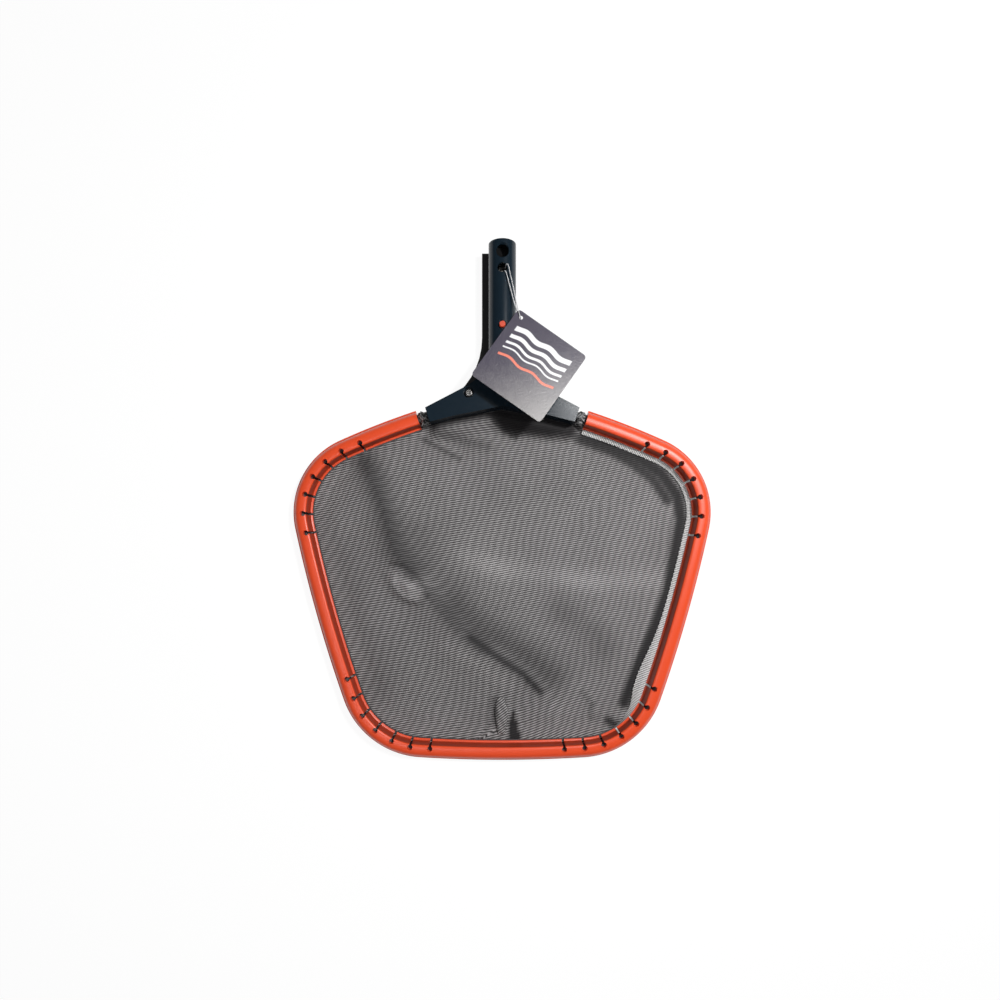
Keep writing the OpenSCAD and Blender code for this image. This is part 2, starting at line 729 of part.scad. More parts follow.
// The loop's route, counted from the screwdriver hole's middle at the neck's crown: out of the
// hole, down to the card's hole, through it, and back into the hole beside the first strand
loop_route = [[3, 2, -7], [3.3, 2.2, -3.8], [3.6, 2.4, -1.2], [4.4, 2.7, 0.7], [5.6, 1.8, 1.6],
    [6.6, -1.4, 1.8], [7.8, -7, 1.7], [9.4, -14, 1.6], [11.2, -22, 1.6], [13.2, -32, 1.8],
    [15.3, -42, 2.4], [16.9, -48, 3], [18, -51.2, 2.5], [18.4, -52.6, 0.8], [17.8, -52.4, -1],
    [16.6, -49.6, -1.5], [15, -45, -1], [12.6, -38, 0.1], [10, -29, 0.9], [7.6, -20, 1.2],
    [5.5, -12, 1.2], [4.2, -7.6, 1.2], [3.3, -4.8, 0.7], [2.7, -3.3, -0.8], [2.4, -2.4, -3.6],
    [2.2, -1.8, -7]];
loop_start = [0, driver_y, neck_z + neck_r];
loop_steps = 3;
function blend_point(a, b, c, d, t) = 0.5 * (2 * b + (c - a) * t
    + (2 * a - 5 * b + 4 * c - d) * t * t + (3 * b - a - 3 * c + d) * t * t * t);
loop_last = len(loop_route) - 1;
loop_path = concat(
    [for (i = [0:loop_last - 1]) for (k = [0:loop_steps - 1])
        blend_point(loop_route[max(i - 1, 0)], loop_route[i], loop_route[i + 1],
            loop_route[min(i + 2, loop_last)], k / loop_steps)],
    [loop_route[loop_last]]);
loop_n = len(loop_path);
function unit(v) = v / norm(v);
function loop_dir(i) = unit(loop_path[min(i + 1, loop_n - 1)] - loop_path[max(i - 1, 0)]);
// The ring's first axis is carried on from ring to ring, so that the tube doesn't twist
function loop_axes(i) = i == 0 ? unit(cross(loop_dir(0), [1, 0, 0]))
    : let (u = loop_axes(i - 1), d = loop_dir(i)) unit(u - (u * d) * d);
loop_points = [for (i = [0:loop_n - 1]) let (u = loop_axes(i), v = cross(loop_dir(i), u))
    for (k = [0:loop_sides - 1]) loop_path[i] + loop_d / 2
        * (cos(360 * k / loop_sides) * u + sin(360 * k / loop_sides) * v)];
loop_faces = concat(
    [for (i = [0:loop_n - 2]) for (k = [0:loop_sides - 1]) let (m = (k + 1) % loop_sides)
        for (f = [[i * loop_sides + k, (i + 1) * loop_sides + m, i * loop_sides + m],
            [i * loop_sides + k, (i + 1) * loop_sides + k, (i + 1) * loop_sides + m]]) f],
    [for (k = [1:loop_sides - 2]) [0, k, k + 1]],
    [for (k = [1:loop_sides - 2]) let (b = (loop_n - 1) * loop_sides) [b, b + k + 1, b + k]]);

module tag_loop() {
    color("white") placed()
        translate(loop_start)
            polyhedron(loop_points, loop_faces, convexity = 8);
}

hoop_tube();
hoop_pin_left();
hoop_pin_right();
edge_guard();
net_sleeve();
net_bag();
net_hem();
yoke_front();
yoke_rear();
arm_screw_left();
arm_screw_right();
arm_nut_left();
arm_nut_right();
rear_screws();
neck_plug();
neck_screw();
button_spring();
snap_button();
hang_tag();
tag_loop();
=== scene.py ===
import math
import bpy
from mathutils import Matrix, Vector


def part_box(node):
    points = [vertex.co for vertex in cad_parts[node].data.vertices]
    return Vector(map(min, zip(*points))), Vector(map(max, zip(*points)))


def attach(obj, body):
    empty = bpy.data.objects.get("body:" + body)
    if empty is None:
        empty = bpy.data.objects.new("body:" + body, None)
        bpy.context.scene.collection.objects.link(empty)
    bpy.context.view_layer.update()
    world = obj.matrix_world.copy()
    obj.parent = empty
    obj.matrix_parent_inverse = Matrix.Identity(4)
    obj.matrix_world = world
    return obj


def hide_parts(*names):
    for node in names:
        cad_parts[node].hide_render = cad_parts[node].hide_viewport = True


bl_info = {
    "name": "Leaf Skimmer Net",
    "version": (1, 0, 0),
    "blender": (4, 5, 0),
    "location": "View3D > Sidebar > Skimmer",
    "description": "Dresses a pool leaf skimmer: mesh net, slotted edge guard, yoke, hang card",
    "category": "Add Mesh",
}

import bpy
import numpy as np
from bpy.props import FloatProperty, FloatVectorProperty, IntProperty, PointerProperty
from mathutils import Vector

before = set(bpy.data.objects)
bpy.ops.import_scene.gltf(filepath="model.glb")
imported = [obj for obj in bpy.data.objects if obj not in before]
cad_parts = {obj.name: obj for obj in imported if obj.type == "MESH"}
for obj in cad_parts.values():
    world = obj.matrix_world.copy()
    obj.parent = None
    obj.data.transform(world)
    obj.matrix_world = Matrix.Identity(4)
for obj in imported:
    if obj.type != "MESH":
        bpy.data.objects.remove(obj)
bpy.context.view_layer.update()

MM = 0.001
TURN = 2 * math.pi

# The hoop's right half as arcs, each a bend radius and a turn, from the middle of the lower edge to
# the guard's end, where it runs on straight into the yoke's arm
ARCS = (
    (1398.5 * MM, math.radians(3.6)),
    (80.5 * MM, math.radians(67)),
    (1528.5 * MM, math.radians(7.1)),
    (72.5 * MM, math.radians(78)),
    (828.5 * MM, math.radians(5.97)),
)
GUARD_RUN = sum(radius * turn for radius, turn in ARCS)
SLEEVE_RUN = GUARD_RUN + 12 * MM
# The middles of the slit corners along the hoop, and how far to the left their slits are slid
CORNER_RUN = ARCS[0][0] * ARCS[0][1] + 0.58 * ARCS[1][0]
SHOULDER_START = sum(radius * turn for radius, turn in ARCS[:3])
SHOULDER_RUN = SHOULDER_START + ARCS[3][0] * ARCS[3][1] / 2 + 4.8 * MM
CORNER_SLID, SHOULDER_SLID = 5.4 * MM, 1.5 * MM
HOOP_R = 4.75 * MM
HOOP_Z = (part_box("hoop_tube")[0].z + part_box("hoop_tube")[1].z) / 2
HOOP_LOW_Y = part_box("hoop_tube")[0].y + HOOP_R
NECK_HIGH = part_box("yoke_front")[1]
NECK_END = NECK_HIGH.y
DRIVER_HOLE = Vector((0, NECK_END - 29.5 * MM, NECK_HIGH.z))
CARD_CORNER = Vector((16.5 * MM, NECK_END - 72.5 * MM, NECK_HIGH.z + 0.5 * MM))
CARD_TURN = math.radians(-35)
CARD_SIZE = (84.5 * MM, 84.3 * MM)

# The loop's route, counted from the screwdriver hole's middle at the neck's crown, in millimetres
LOOP_ROUTE = (
    (3, 2, -7), (3.3, 2.2, -3.8), (3.6, 2.4, -1.2), (4.4, 2.7, 0.7), (5.6, 1.8, 1.6),
    (6.6, -1.4, 1.8), (7.8, -7, 1.7), (9.4, -14, 1.6), (11.2, -22, 1.6), (13.2, -32, 1.8),
    (15.3, -42, 2.4), (16.9, -48, 3), (18, -51.2, 2.5), (18.4, -52.6, 0.8), (17.8, -52.4, -1),
    (16.6, -49.6, -1.5), (15, -45, -1), (12.6, -38, 0.1), (10, -29, 0.9), (7.6, -20, 1.2),
    (5.5, -12, 1.2), (4.2, -7.6, 1.2), (3.3, -4.8, 0.7), (2.7, -3.3, -0.8), (2.4, -2.4, -3.6),
    (2.2, -1.8, -7),
)


# ---- sizes and colours that a user would change ----

class SkimmerSizes(bpy.types.PropertyGroup):
    """Sizes of the dressing, in metres"""

    loop_diameter: FloatProperty(
        name="Loop Diameter", description="Thickness of the card's string loop",
        default=1.0 * MM, min=0.4 * MM, unit="LENGTH",
    )
    slit_width: FloatProperty(
        name="Slit Width", description="Width of the guard's relief slits",
        default=2.6 * MM, min=0.3 * MM, unit="LENGTH",
    )
    keyhole: FloatProperty(
        name="Keyhole", description="Diameter of the round hole at each slit's end",
        default=5.6 * MM, min=1 * MM, unit="LENGTH",
    )
    slit_pitch: FloatProperty(
        name="Slit Pitch", description="Distance between slits along the hoop",
        default=21.3 * MM, min=5 * MM, unit="LENGTH",
    )
    slits: IntProperty(
        name="Slits", description="Relief slits at each corner", default=7, min=1, max=9,
    )
    shell_bevel: FloatProperty(
        name="Shell Bevel", description="Rounding of the yoke shells' edges",
        default=0.9 * MM, min=0, unit="LENGTH",
    )
    trim_bevel: FloatProperty(
        name="Trim Bevel", description="Rounding of small fasteners' edges",
        default=0.25 * MM, min=0, unit="LENGTH",
    )
    fold_height: FloatProperty(
        name="Fold Height", description="Height of the net's main folds",
        default=5.5 * MM, min=0, unit="LENGTH",
    )
    thread_row: FloatProperty(
        name="Thread Row", description="Distance between the net's rows of thread",
        default=2.29 * MM, min=0.5 * MM, unit="LENGTH",
    )
    thread_column: FloatProperty(
        name="Thread Column", description="Distance between the net's columns of stitches",
        default=7.0 * MM, min=0.5 * MM, unit="LENGTH",
    )


class SkimmerColours(bpy.types.PropertyGroup):
    """Colours of the finishes"""

    guard: FloatVectorProperty(
        name="Guard", description="Colour of the edge guard", subtype="COLOR",
        default=(0.84, 0.082, 0.023), min=0, max=1,
    )
    button: FloatVectorProperty(
        name="Button", description="Colour of the snap button", subtype="COLOR",
        default=(0.66, 0.065, 0.022), min=0, max=1,
    )
    thread_light: FloatVectorProperty(
        name="Light Thread", description="Colour of the net's crossing threads", subtype="COLOR",
        default=(0.41, 0.395, 0.395), min=0, max=1,
    )
    thread_dark: FloatVectorProperty(
        name="Dark Thread", description="Colour between the net's crossing threads",
        subtype="COLOR", default=(0.012, 0.011, 0.012), min=0, max=1,
    )
    hem: FloatVectorProperty(
        name="Hem", description="Colour of the hem's bright threads", subtype="COLOR",
        default=(0.72, 0.71, 0.70), min=0, max=1,
    )
    yoke: FloatVectorProperty(
        name="Yoke", description="Colour of the front shell", subtype="COLOR",
        default=(0.0065, 0.0135, 0.021), min=0, max=1,
    )
    rear: FloatVectorProperty(
        name="Rear Shell", description="Colour of the rear shell", subtype="COLOR",
        default=(0.028, 0.028, 0.029), min=0, max=1,
    )
    card: FloatVectorProperty(
        name="Card", description="Ground colour of the hang card", subtype="COLOR",
        default=(0.058, 0.050, 0.076), min=0, max=1,
    )


# ---- shader maths ----

class Wire:
    """A number that varies over a surface; arithmetic on it adds Math nodes."""

    def __init__(self, finish, socket):
        self.finish = finish
        self.socket = socket

    def maths(self, operation, *values):
        sockets = dict(enumerate(values))
        return self.finish.node("ShaderNodeMath", {"operation": operation}, sockets)

    def __add__(self, other):
        return self.maths("ADD", self, other)

    def __radd__(self, other):
        return self.maths("ADD", other, self)

    def __sub__(self, other):
        return self.maths("SUBTRACT", self, other)

    def __rsub__(self, other):
        return self.maths("SUBTRACT", other, self)

    def __mul__(self, other):
        return self.maths("MULTIPLY", self, other)

    def __rmul__(self, other):
        return self.maths("MULTIPLY", other, self)

    def __truediv__(self, other):
        return self.maths("DIVIDE", self, other)

    def __pow__(self, other):
        return self.maths("POWER", self, other)

    def sine(self):
        return self.maths("SINE", self)

    def size(self):
        return self.maths("ABSOLUTE", self)

    def most(self, other):
        return self.maths("MAXIMUM", self, other)

    def step(self, low, high):
        """0 below low, 1 above high and smooth between them"""
        settings = {"interpolation_type": "SMOOTHSTEP"}
        sockets = {"Value": self, "From Min": low, "From Max": high}
        return self.finish.node("ShaderNodeMapRange", settings, sockets)


class Finish:
    """The shader tree of one material, or of the world."""

    def __init__(self, name, holders=bpy.data.materials, shader="Principled BSDF"):
        self.material = holders.new(name)
        self.material.use_nodes = True
        self.tree = self.material.node_tree
        self.shader = self.tree.nodes[shader]

    def feed(self, socket, value):
        if isinstance(value, Wire):
            self.tree.links.new(value.socket, socket)
        elif socket.type == "RGBA" and len(value) == 3:
            socket.default_value = (*value, 1)
        else:
            socket.default_value = value

    def node(self, kind, settings=None, sockets=None, output=0):
        made = self.tree.nodes.new(kind)
        for key, value in (settings or {}).items():
            setattr(made, key, value)
        for key, value in (sockets or {}).items():
            self.feed(made.inputs[key], value)
        return Wire(self, made.outputs[output])

    def place(self):
        """Object coordinates, in metres"""
        return self.node("ShaderNodeTexCoord", output="Object")

    def cloth(self):
        """The piece's own UV map, in metres"""
        return self.node("ShaderNodeUVMap", {"uv_map": "Cloth"})

    def attribute(self, name):
        return self.node("ShaderNodeAttribute", {"attribute_name": name}, output="Fac")

    def parts(self, vector):
        split = self.node("ShaderNodeSeparateXYZ", sockets={0: vector})
        outputs = split.socket.node.outputs
        return [Wire(self, outputs[i]) for i in range(3)]

    def noise(self, vector, scale, detail=2.0, roughness=0.5):
        sockets = {"Vector": vector, "Scale": scale, "Detail": detail, "Roughness": roughness}
        return self.node("ShaderNodeTexNoise", sockets=sockets)

    def mix(self, factor, first, second):
        settings = {"data_type": "RGBA", "clamp_factor": True}
        return self.node("ShaderNodeMix", settings, {0: factor, 6: first, 7: second}, output=2)

    def bump(self, height, distance, strength=1.0):
        sockets = {"Height": height, "Distance": distance, "Strength": strength}
        return self.node("ShaderNodeBump", sockets=sockets)

    def backdrop_rays(self):
        """1 for the rays of the camera and of mirrors and clear things, 0 for the light's own"""
        outputs = self.node("ShaderNodeLightPath").socket.node.outputs
        camera, glossy, clear = (
            Wire(self, outputs[f"Is {kind} Ray"]) for kind in ("Camera", "Glossy", "Transmission")
        )
        return camera.most(glossy).most(clear)

    def shade(self, **sockets):
        """Sets or links the shader's sockets, written as words joined by underscores"""
        for key, value in sockets.items():
            self.feed(self.shader.inputs[key.replace("_", " ").title().replace("Ior", "IOR")], value)
        return self.material


FINISHES = {}


def finish_of(name):
    """The material of a finish, made when first asked for"""
    if name not in FINISHES:
        FINISHES[name] = FINISH_MAKERS[name](bpy.context.scene.skimmer_colours)
    return FINISHES[name]


def guard_plastic(colours):
    """Smooth orange moulding with a soft gloss, with painted shade down its flank and its inner wall"""
    f = Finish("guard_plastic")
    place = f.place()
    height = f.parts(place)[2]
    out = f.attribute("Out")
    flow = f.noise(place, 18, 3)
    below_crown = height.step(3 * MM, 5.5 * MM) * (1 - height.step(14 * MM, 19 * MM))
    flank = out.step(1 * MM, 5 * MM) * below_crown
    tint = f.mix(flow, tuple(0.90 * c for c in colours.guard), tuple(colours.guard))
    wall = (1 - out.step(-7.1 * MM, -6.2 * MM)) * height.step(5.6 * MM, 7 * MM)
    # Painted shade: the flank below the crown and the inner wall are mixed towards a dark orange
    tint = f.mix(0.35 * flank + 0.7 * wall, tint, tuple(0.2 * c for c in colours.guard))
    return f.shade(
        base_color=tint,
        roughness=0.31 + 0.10 * f.noise(place, 90, 3),
        normal=f.bump(f.noise(place, 1400, 2), 0.02 * MM, 0.3),
        specular_ior_level=0.35,
    )


def net_cloth(colours):
    """Fine rows of thread, broken into dashes whose gaps line up in wavy columns"""
    f = Finish("net_cloth")
    sizes = bpy.context.scene.skimmer_sizes
    uv = f.cloth()
    u, v, _ = f.parts(uv)
    wave = f.noise(uv, 16, 2.5)
    row = v / sizes.thread_row + 0.5 * wave
    column = u / sizes.thread_column + 2.6 * wave
    thread = (row * TURN).sine() * 0.5 + 0.5
    dash = (column * TURN).sine() * 0.5 + 0.5
    fine = (u / (1.15 * MM) * TURN).sine() * 0.5 + 0.5
    patch = f.noise(uv, 9, 3, 0.6)
    light = (0.05 + 0.95 * thread ** 1.2) * (0.70 + 0.30 * dash) * (0.90 + 0.10 * fine)
    # Painted shade and painted light, stored at each vertex, darken and lighten the threads
    light = light * (0.72 + 0.56 * patch) * (1 + f.attribute("PaintedShading"))
    ground = f.mix(light, tuple(colours.thread_dark), tuple(colours.thread_light))
    return f.shade(
        base_color=ground,
        roughness=0.62,
        alpha=1 - 0.85 * f.attribute("Clear"),
        normal=f.bump(thread * (0.5 + 0.5 * dash), 0.25 * MM, 0.6),
        specular_ior_level=0.15,
    )


def hem_thread(colours):
    """Bright threads side by side across the hem, ending unevenly"""
    f = Finish("hem_thread")
    uv = f.cloth()
    u = f.parts(uv)[0]
    thread = (u / (1.9 * MM) * TURN).sine() * 0.5 + 0.5
    ragged = f.noise(uv, 800, 2)
    light = (0.35 + 0.65 * thread) * (0.55 + 0.7 * ragged)
    light = light * (1 - 0.9 * f.attribute("Shade"))
    colour = f.mix(light, tuple(colours.thread_dark), tuple(colours.hem))
    open_mesh = (1 - thread) * (1 - f.attribute("Shade"))
    return f.shade(
        base_color=colour, roughness=0.6, alpha=1 - 0.6 * open_mesh, normal=f.bump(thread, 0.3 * MM),
    )


def sleeve_mesh(colours, name="sleeve_mesh", loops=0.34):
    """Gathered black mesh whose loops are paler, by as much as is given"""
    f = Finish(name)
    place = f.place()
    crumple = f.noise(place, 300, 3, 0.6)
    light = (crumple - 0.5).size().step(0.06, 0.01)
    colour = f.mix(light, (0.006, 0.006, 0.007), (loops, loops, loops))
    return f.shade(base_color=colour, roughness=0.55, normal=f.bump(crumple, 1.2 * MM))


def shade_painted_sleeve(colours):
    """The same mesh drawn tight inside the guard, its loops darkened as painted shade"""
    return sleeve_mesh(colours, "shade_painted_sleeve", 0.03)


def light_painted_slit_cloth(colours):
    """Cloth stretched behind the slits, painted pale as painted light where light falls in through them
    """
    f = Finish("light_painted_slit_cloth")
    weave = f.noise(f.place(), 1500, 2)
    colour = f.mix(weave, (0.5, 0.5, 0.5), (1, 1, 1))
    return f.shade(base_color=colour, roughness=0.6, normal=f.bump(weave, 0.2 * MM))


def yoke_plastic(colours):
    """Satin navy moulding with a fine spark-eroded grain"""
    f = Finish("yoke_plastic")
    place = f.place()
    grain = f.noise(place, 900, 3, 0.6)
    cloud = f.noise(place, 60, 3)
    light = tuple(1.4 * c + 0.001 for c in colours.yoke)
    colour = f.mix(cloud * 0.6, tuple(colours.yoke), light)
    return f.shade(
        base_color=colour,
        roughness=0.18 + 0.10 * f.noise(place, 240, 3),
        normal=f.bump(grain, 0.04 * MM, 0.5),
        specular_ior_level=0.25,
    )


def rear_plastic(colours):
    """Black gloss moulding"""
    f = Finish("rear_plastic")
    place = f.place()
    return f.shade(
        base_color=tuple(colours.rear),
        roughness=0.16 + 0.10 * f.noise(place, 40, 2),
        normal=f.bump(f.noise(place, 500, 2), 0.02 * MM, 0.4),
        specular_ior_level=0.5,
    )


def plug_plastic(colours):
    """Dull black plastic inside the neck"""
    f = Finish("plug_plastic")
    grain = f.noise(f.place(), 700, 2)
    return f.shade(
        base_color=(0.004, 0.004, 0.0045), roughness=0.5, specular_ior_level=0.2,
        normal=f.bump(grain, 0.05 * MM),
    )


def plated_steel(colours):
    """Bright plating with fine turning marks"""
    f = Finish("plated_steel")
    place = f.place()
    marks = f.noise(place, 1600, 2)
    return f.shade(
        base_color=(0.22, 0.215, 0.21),
        metallic=1.0,
        roughness=0.28 + 0.16 * marks,
        normal=f.bump(marks, 0.02 * MM, 0.5),
    )


def drawn_tube(colours):
    """Drawn aluminium"""
    f = Finish("drawn_tube")
    marks = f.noise(f.place(), 600, 3)
    return f.shade(
        base_color=(0.72, 0.73, 0.75), metallic=1.0, roughness=0.32 + 0.12 * marks,
        normal=f.bump(marks, 0.02 * MM, 0.4),
    )


def button_plastic(colours):
    """Dull orange moulding"""
    f = Finish("button_plastic")
    place = f.place()
    deep = tuple(0.85 * c for c in colours.button)
    return f.shade(
        base_color=f.mix(f.noise(place, 300, 2), deep, tuple(colours.button)), roughness=0.38,
        normal=f.bump(f.noise(place, 1500, 2), 0.03 * MM),
    )


def loop_string(colours):
    """Pale translucent string"""
    f = Finish("loop_string")
    fibres = f.noise(f.place(), 2200, 2)
    colour = f.mix(fibres, (0.5, 0.5, 0.51), (0.92, 0.92, 0.93))
    return f.shade(
        base_color=colour, roughness=0.3, transmission_weight=0.3,
        normal=f.bump(fibres, 0.08 * MM),
    )


# The card's printed bands: middle and half height of each, as shares of the card's height
PALE_BANDS = ((0.80, 0.030), (0.69, 0.022), (0.60, 0.013), (0.53, 0.007))
WARM_BAND = (0.43, 0.013)
PALE_INK, WARM_INK = (0.82, 0.82, 0.83), (0.80, 0.20, 0.13)


def card_face(colours):
    """Coated card: plain wavy bands, and a painted reflection of glare, lighter towards its lower right
    corner
    """
    f = Finish("card_face")
    turned = f.node(
        "ShaderNodeMapping", {"vector_type": "TEXTURE"},
        {"Vector": f.place(), "Location": CARD_CORNER, "Rotation": (0, 0, CARD_TURN)},
    )
    across, up, _ = f.parts(turned)
    a = across / CARD_SIZE[0]
    b = up / CARD_SIZE[1] + 1
    ripple = 0.016 * (a * 3 * TURN).sine()
    inside = a.step(0.10, 0.112) * (1 - a.step(0.885, 0.897))

    def band(middle, half):
        return (b + ripple - middle).size().step(half + 0.006, half)

    pale = 0.0
    for middle, half in PALE_BANDS:
        pale = band(middle, half) + pale
    scuff_and_glare = f.noise(turned, 130, 4, 0.65)
    # Painted reflection: the glare of the light on the card, lighter towards its lower right corner
    painted_glare = ((1 - b) * 0.62 + a * 0.62 + (scuff_and_glare - 0.5) * 0.22).step(0.42, 1.3)
    ground = f.mix(painted_glare, tuple(colours.card), (0.24, 0.228, 0.224))
    printed = f.mix(pale * inside, ground, PALE_INK)
    dimples = f.noise(turned, 420, 2, 0.5)
    return f.shade(
        base_color=f.mix(band(*WARM_BAND) * inside, printed, WARM_INK),
        roughness=0.26 + 0.14 * scuff_and_glare,
        normal=f.bump(dimples, 0.25 * MM, 0.55),
        specular_ior_level=0.5,
    )


FINISH_MAKERS = {
    "guard": guard_plastic,
    "net": net_cloth,
    "hem": hem_thread,
    "sleeve": sleeve_mesh,
    "shade_painted_sleeve": shade_painted_sleeve,
    "lining": light_painted_slit_cloth,
    "yoke": yoke_plastic,
    "rear": rear_plastic,
    "plug": plug_plastic,
    "steel": plated_steel,
    "hoop": drawn_tube,
    "button": button_plastic,
    "string": loop_string,
    "card": card_face,
}


# ---- modelling helpers ----

def deselect():
    bpy.ops.object.select_all(action="DESELECT")


def pick(obj):
    """Makes obj the one selected and active object"""
    deselect()
    obj.select_set(True)
    bpy.context.view_layer.objects.active = obj
    return obj


def join(pieces):
    """Makes one object of several"""
    deselect()
    for piece in pieces:
        piece.select_set(True)
    bpy.context.view_layer.objects.active = pieces[0]
    bpy.ops.object.join()
    return pieces[0]


def grid(name, columns, rows):
    """A flat grid from -1 to 1 both ways"""
    deselect()
    bpy.ops.mesh.primitive_grid_add(x_subdivisions=columns, y_subdivisions=rows, size=2)
    made = bpy.context.object
    made.name = made.data.name = name
    return made


def dress(obj, finish):
    obj.data.materials.clear()
    obj.data.materials.append(finish_of(finish))
    return obj


def settle(obj, body, slot, *nodes):
    """Puts the piece's place in its mesh, hangs it on the empty of the body it rides on and hides the
    CAD nodes it stands for
    """
    pick(obj)
    bpy.ops.object.transform_apply(location=True, rotation=True, scale=True)
    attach(obj, body)
    if nodes:
        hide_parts(*nodes)
    deselect()
    return obj


def finish_modifier(obj, kind, **settings):
    """Adds a modifier and applies it"""
    made = obj.modifiers.new(kind.title(), kind)
    for key, value in settings.items():
        setattr(made, key, value)
    pick(obj)
    bpy.ops.object.modifier_apply(modifier=made.name)
    return obj


def smooth(obj, degrees):
    pick(obj)
    bpy.ops.object.shade_smooth_by_angle(angle=math.radians(degrees))
    return obj


def mend(obj, gap=1e-6):
    """Merges doubles and points the faces outwards"""
    pick(obj)
    bpy.ops.object.mode_set(mode="EDIT")
    bpy.ops.mesh.select_all(action="SELECT")
    bpy.ops.mesh.remove_doubles(threshold=gap)
    bpy.ops.mesh.normals_make_consistent(inside=False)
    bpy.ops.object.mode_set(mode="OBJECT")
    return obj


def mark(obj, name, values):
    """Stores a number at each vertex for the finish to read"""
    made = obj.data.attributes.new(name, "FLOAT", "POINT")
    made.data.foreach_set("value", np.asarray(values, np.float32))


def vertex_places(obj):
    places = np.empty(len(obj.data.vertices) * 3)
    obj.data.vertices.foreach_get("co", places)
    return places.reshape(-1, 3)


def map_threads(obj, places):
    """Names the piece's UV map and fills it, in metres, with one place for each vertex"""
    layer = obj.data.uv_layers[0]
    layer.name = "Cloth"
    corner = np.empty(len(obj.data.loops), int)
    obj.data.loops.foreach_get("vertex_index", corner)
    layer.data.foreach_set("uv", np.asarray(places)[corner].ravel())


def ease(value, low, high):
    """0 below low, 1 above high and smooth between them"""
    t = np.clip((value - low) / (high - low), 0, 1)
    return t * t * (3 - 2 * t)


def hoop_place(run):
    """Where the hoop's axis is at a distance along it from the middle of its lower edge"""
    side = -1 if run < 0 else 1
    left = abs(run)
    x, y, heading = 0.0, HOOP_LOW_Y, 0.0
    for radius, turn in ARCS:
        bend = min(left, radius * turn) / radius
        x += radius * (math.sin(heading + bend) - math.sin(heading))
        y += radius * (math.cos(heading) - math.cos(heading + bend))
        heading += bend
        left -= radius * bend
    x += left * math.cos(heading)
    y += left * math.sin(heading)
    return Vector((side * x, y, 0)), side * heading


def beside_hoop(run, out, z=0.0):
    """A point at a distance along the hoop, moved out from its axis"""
    middle, heading = hoop_place(run)
    return middle + Vector((math.sin(heading) * out, -math.cos(heading) * out, z))


def distance_out(places):
    """Each place's distance out from the hoop's axis"""
    runs = spread(-SLEEVE_RUN, SLEEVE_RUN, 1 * MM)
    axis = np.array([beside_hoop(run, 0)[:2] for run in runs])
    outward = np.array([beside_hoop(run, 1)[:2] for run in runs]) - axis
    near = np.array([np.hypot(*(axis - place[:2]).T).argmin() for place in places])
    return ((places[:, :2] - axis[near]) * outward[near]).sum(1)


def spread(low, high, step):
    count = max(1, round((high - low) / step))
    return [low + (high - low) * i / count for i in range(count + 1)]


def line_curve(name, points, closed=False, flat=True):
    """A curve of straight stretches through the points"""
    data = bpy.data.curves.new(name, "CURVE")
    data.dimensions = "2D" if flat else "3D"
    if flat:
        data.fill_mode = "NONE"
    spline = data.splines.new("POLY")
    spline.points.add(len(points) - 1)
    for knot, point in zip(spline.points, points):
        knot.co = (*point[:2], 0 if flat else point[2], 1)
    spline.use_cyclic_u = closed
    curve = bpy.data.objects.new(name, data)
    bpy.context.scene.collection.objects.link(curve)
    return curve


def sweep_round_hoop(name, section, runs):
    """Carries a closed section of (distance out, height) along the hoop and closes its ends"""
    rail = line_curve(name, [hoop_place(run)[0] for run in runs])
    cross = line_curve(name + "_section", section, closed=True)
    rail.data.bevel_mode = "OBJECT"
    rail.data.bevel_object = cross
    rail.data.use_fill_caps = True
    pick(rail)
    bpy.ops.object.convert(target="MESH")
    bpy.data.objects.remove(cross)
    return mend(bpy.context.view_layer.objects.active)


def refined(name, node, bevel):
    """A copy of a CAD node's mesh with merged points, flat faces joined and edges rounded"""
    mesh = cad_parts[node].data.copy()
    mesh.name = name
    copy = bpy.data.objects.new(name, mesh)
    bpy.context.scene.collection.objects.link(copy)
    mend(copy, 2e-6)
    bpy.ops.object.mode_set(mode="EDIT")
    bpy.ops.mesh.select_all(action="SELECT")
    bpy.ops.mesh.dissolve_limited(angle_limit=math.radians(0.4))
    bpy.ops.object.mode_set(mode="OBJECT")
    if bevel:
        finish_modifier(
            copy, "BEVEL", width=bevel, segments=2, limit_method="ANGLE",
            angle_limit=math.radians(30), use_clamp_overlap=True,
        )
    smooth(copy, 50)
    return finish_modifier(copy, "WEIGHTED_NORMAL", weight=100, keep_sharp=True)


class Step:
    """What the skimmer's operators share"""

    bl_options = {"REGISTER", "UNDO"}

    def execute(self, context):
        self.build(context.scene.skimmer_sizes)
        return {"FINISHED"}


# ---- camera and cord ----

CAMERA_PLACE = (-5.5 * MM, -43.9 * MM, 646.5 * MM)
CAMERA_LENS, CAMERA_SENSOR = 21.6, 36
CAMERA_SHIFT = (0.003, 0.048)


class SKIMMER_OT_camera(Step, bpy.types.Operator):
    """Place the camera straight above the net"""

    bl_idname = "skimmer.camera"
    bl_label = "Camera"

    def build(self, sizes):
        deselect()
        bpy.ops.object.camera_add(location=CAMERA_PLACE, rotation=(0, 0, 0))
        camera = bpy.context.object
        camera.name = "camera"
        camera.data.lens, camera.data.sensor_width = CAMERA_LENS, CAMERA_SENSOR
        camera.data.shift_x, camera.data.shift_y = CAMERA_SHIFT
        bpy.context.scene.camera = camera
        bpy.context.scene.view_settings.view_transform = "Standard"


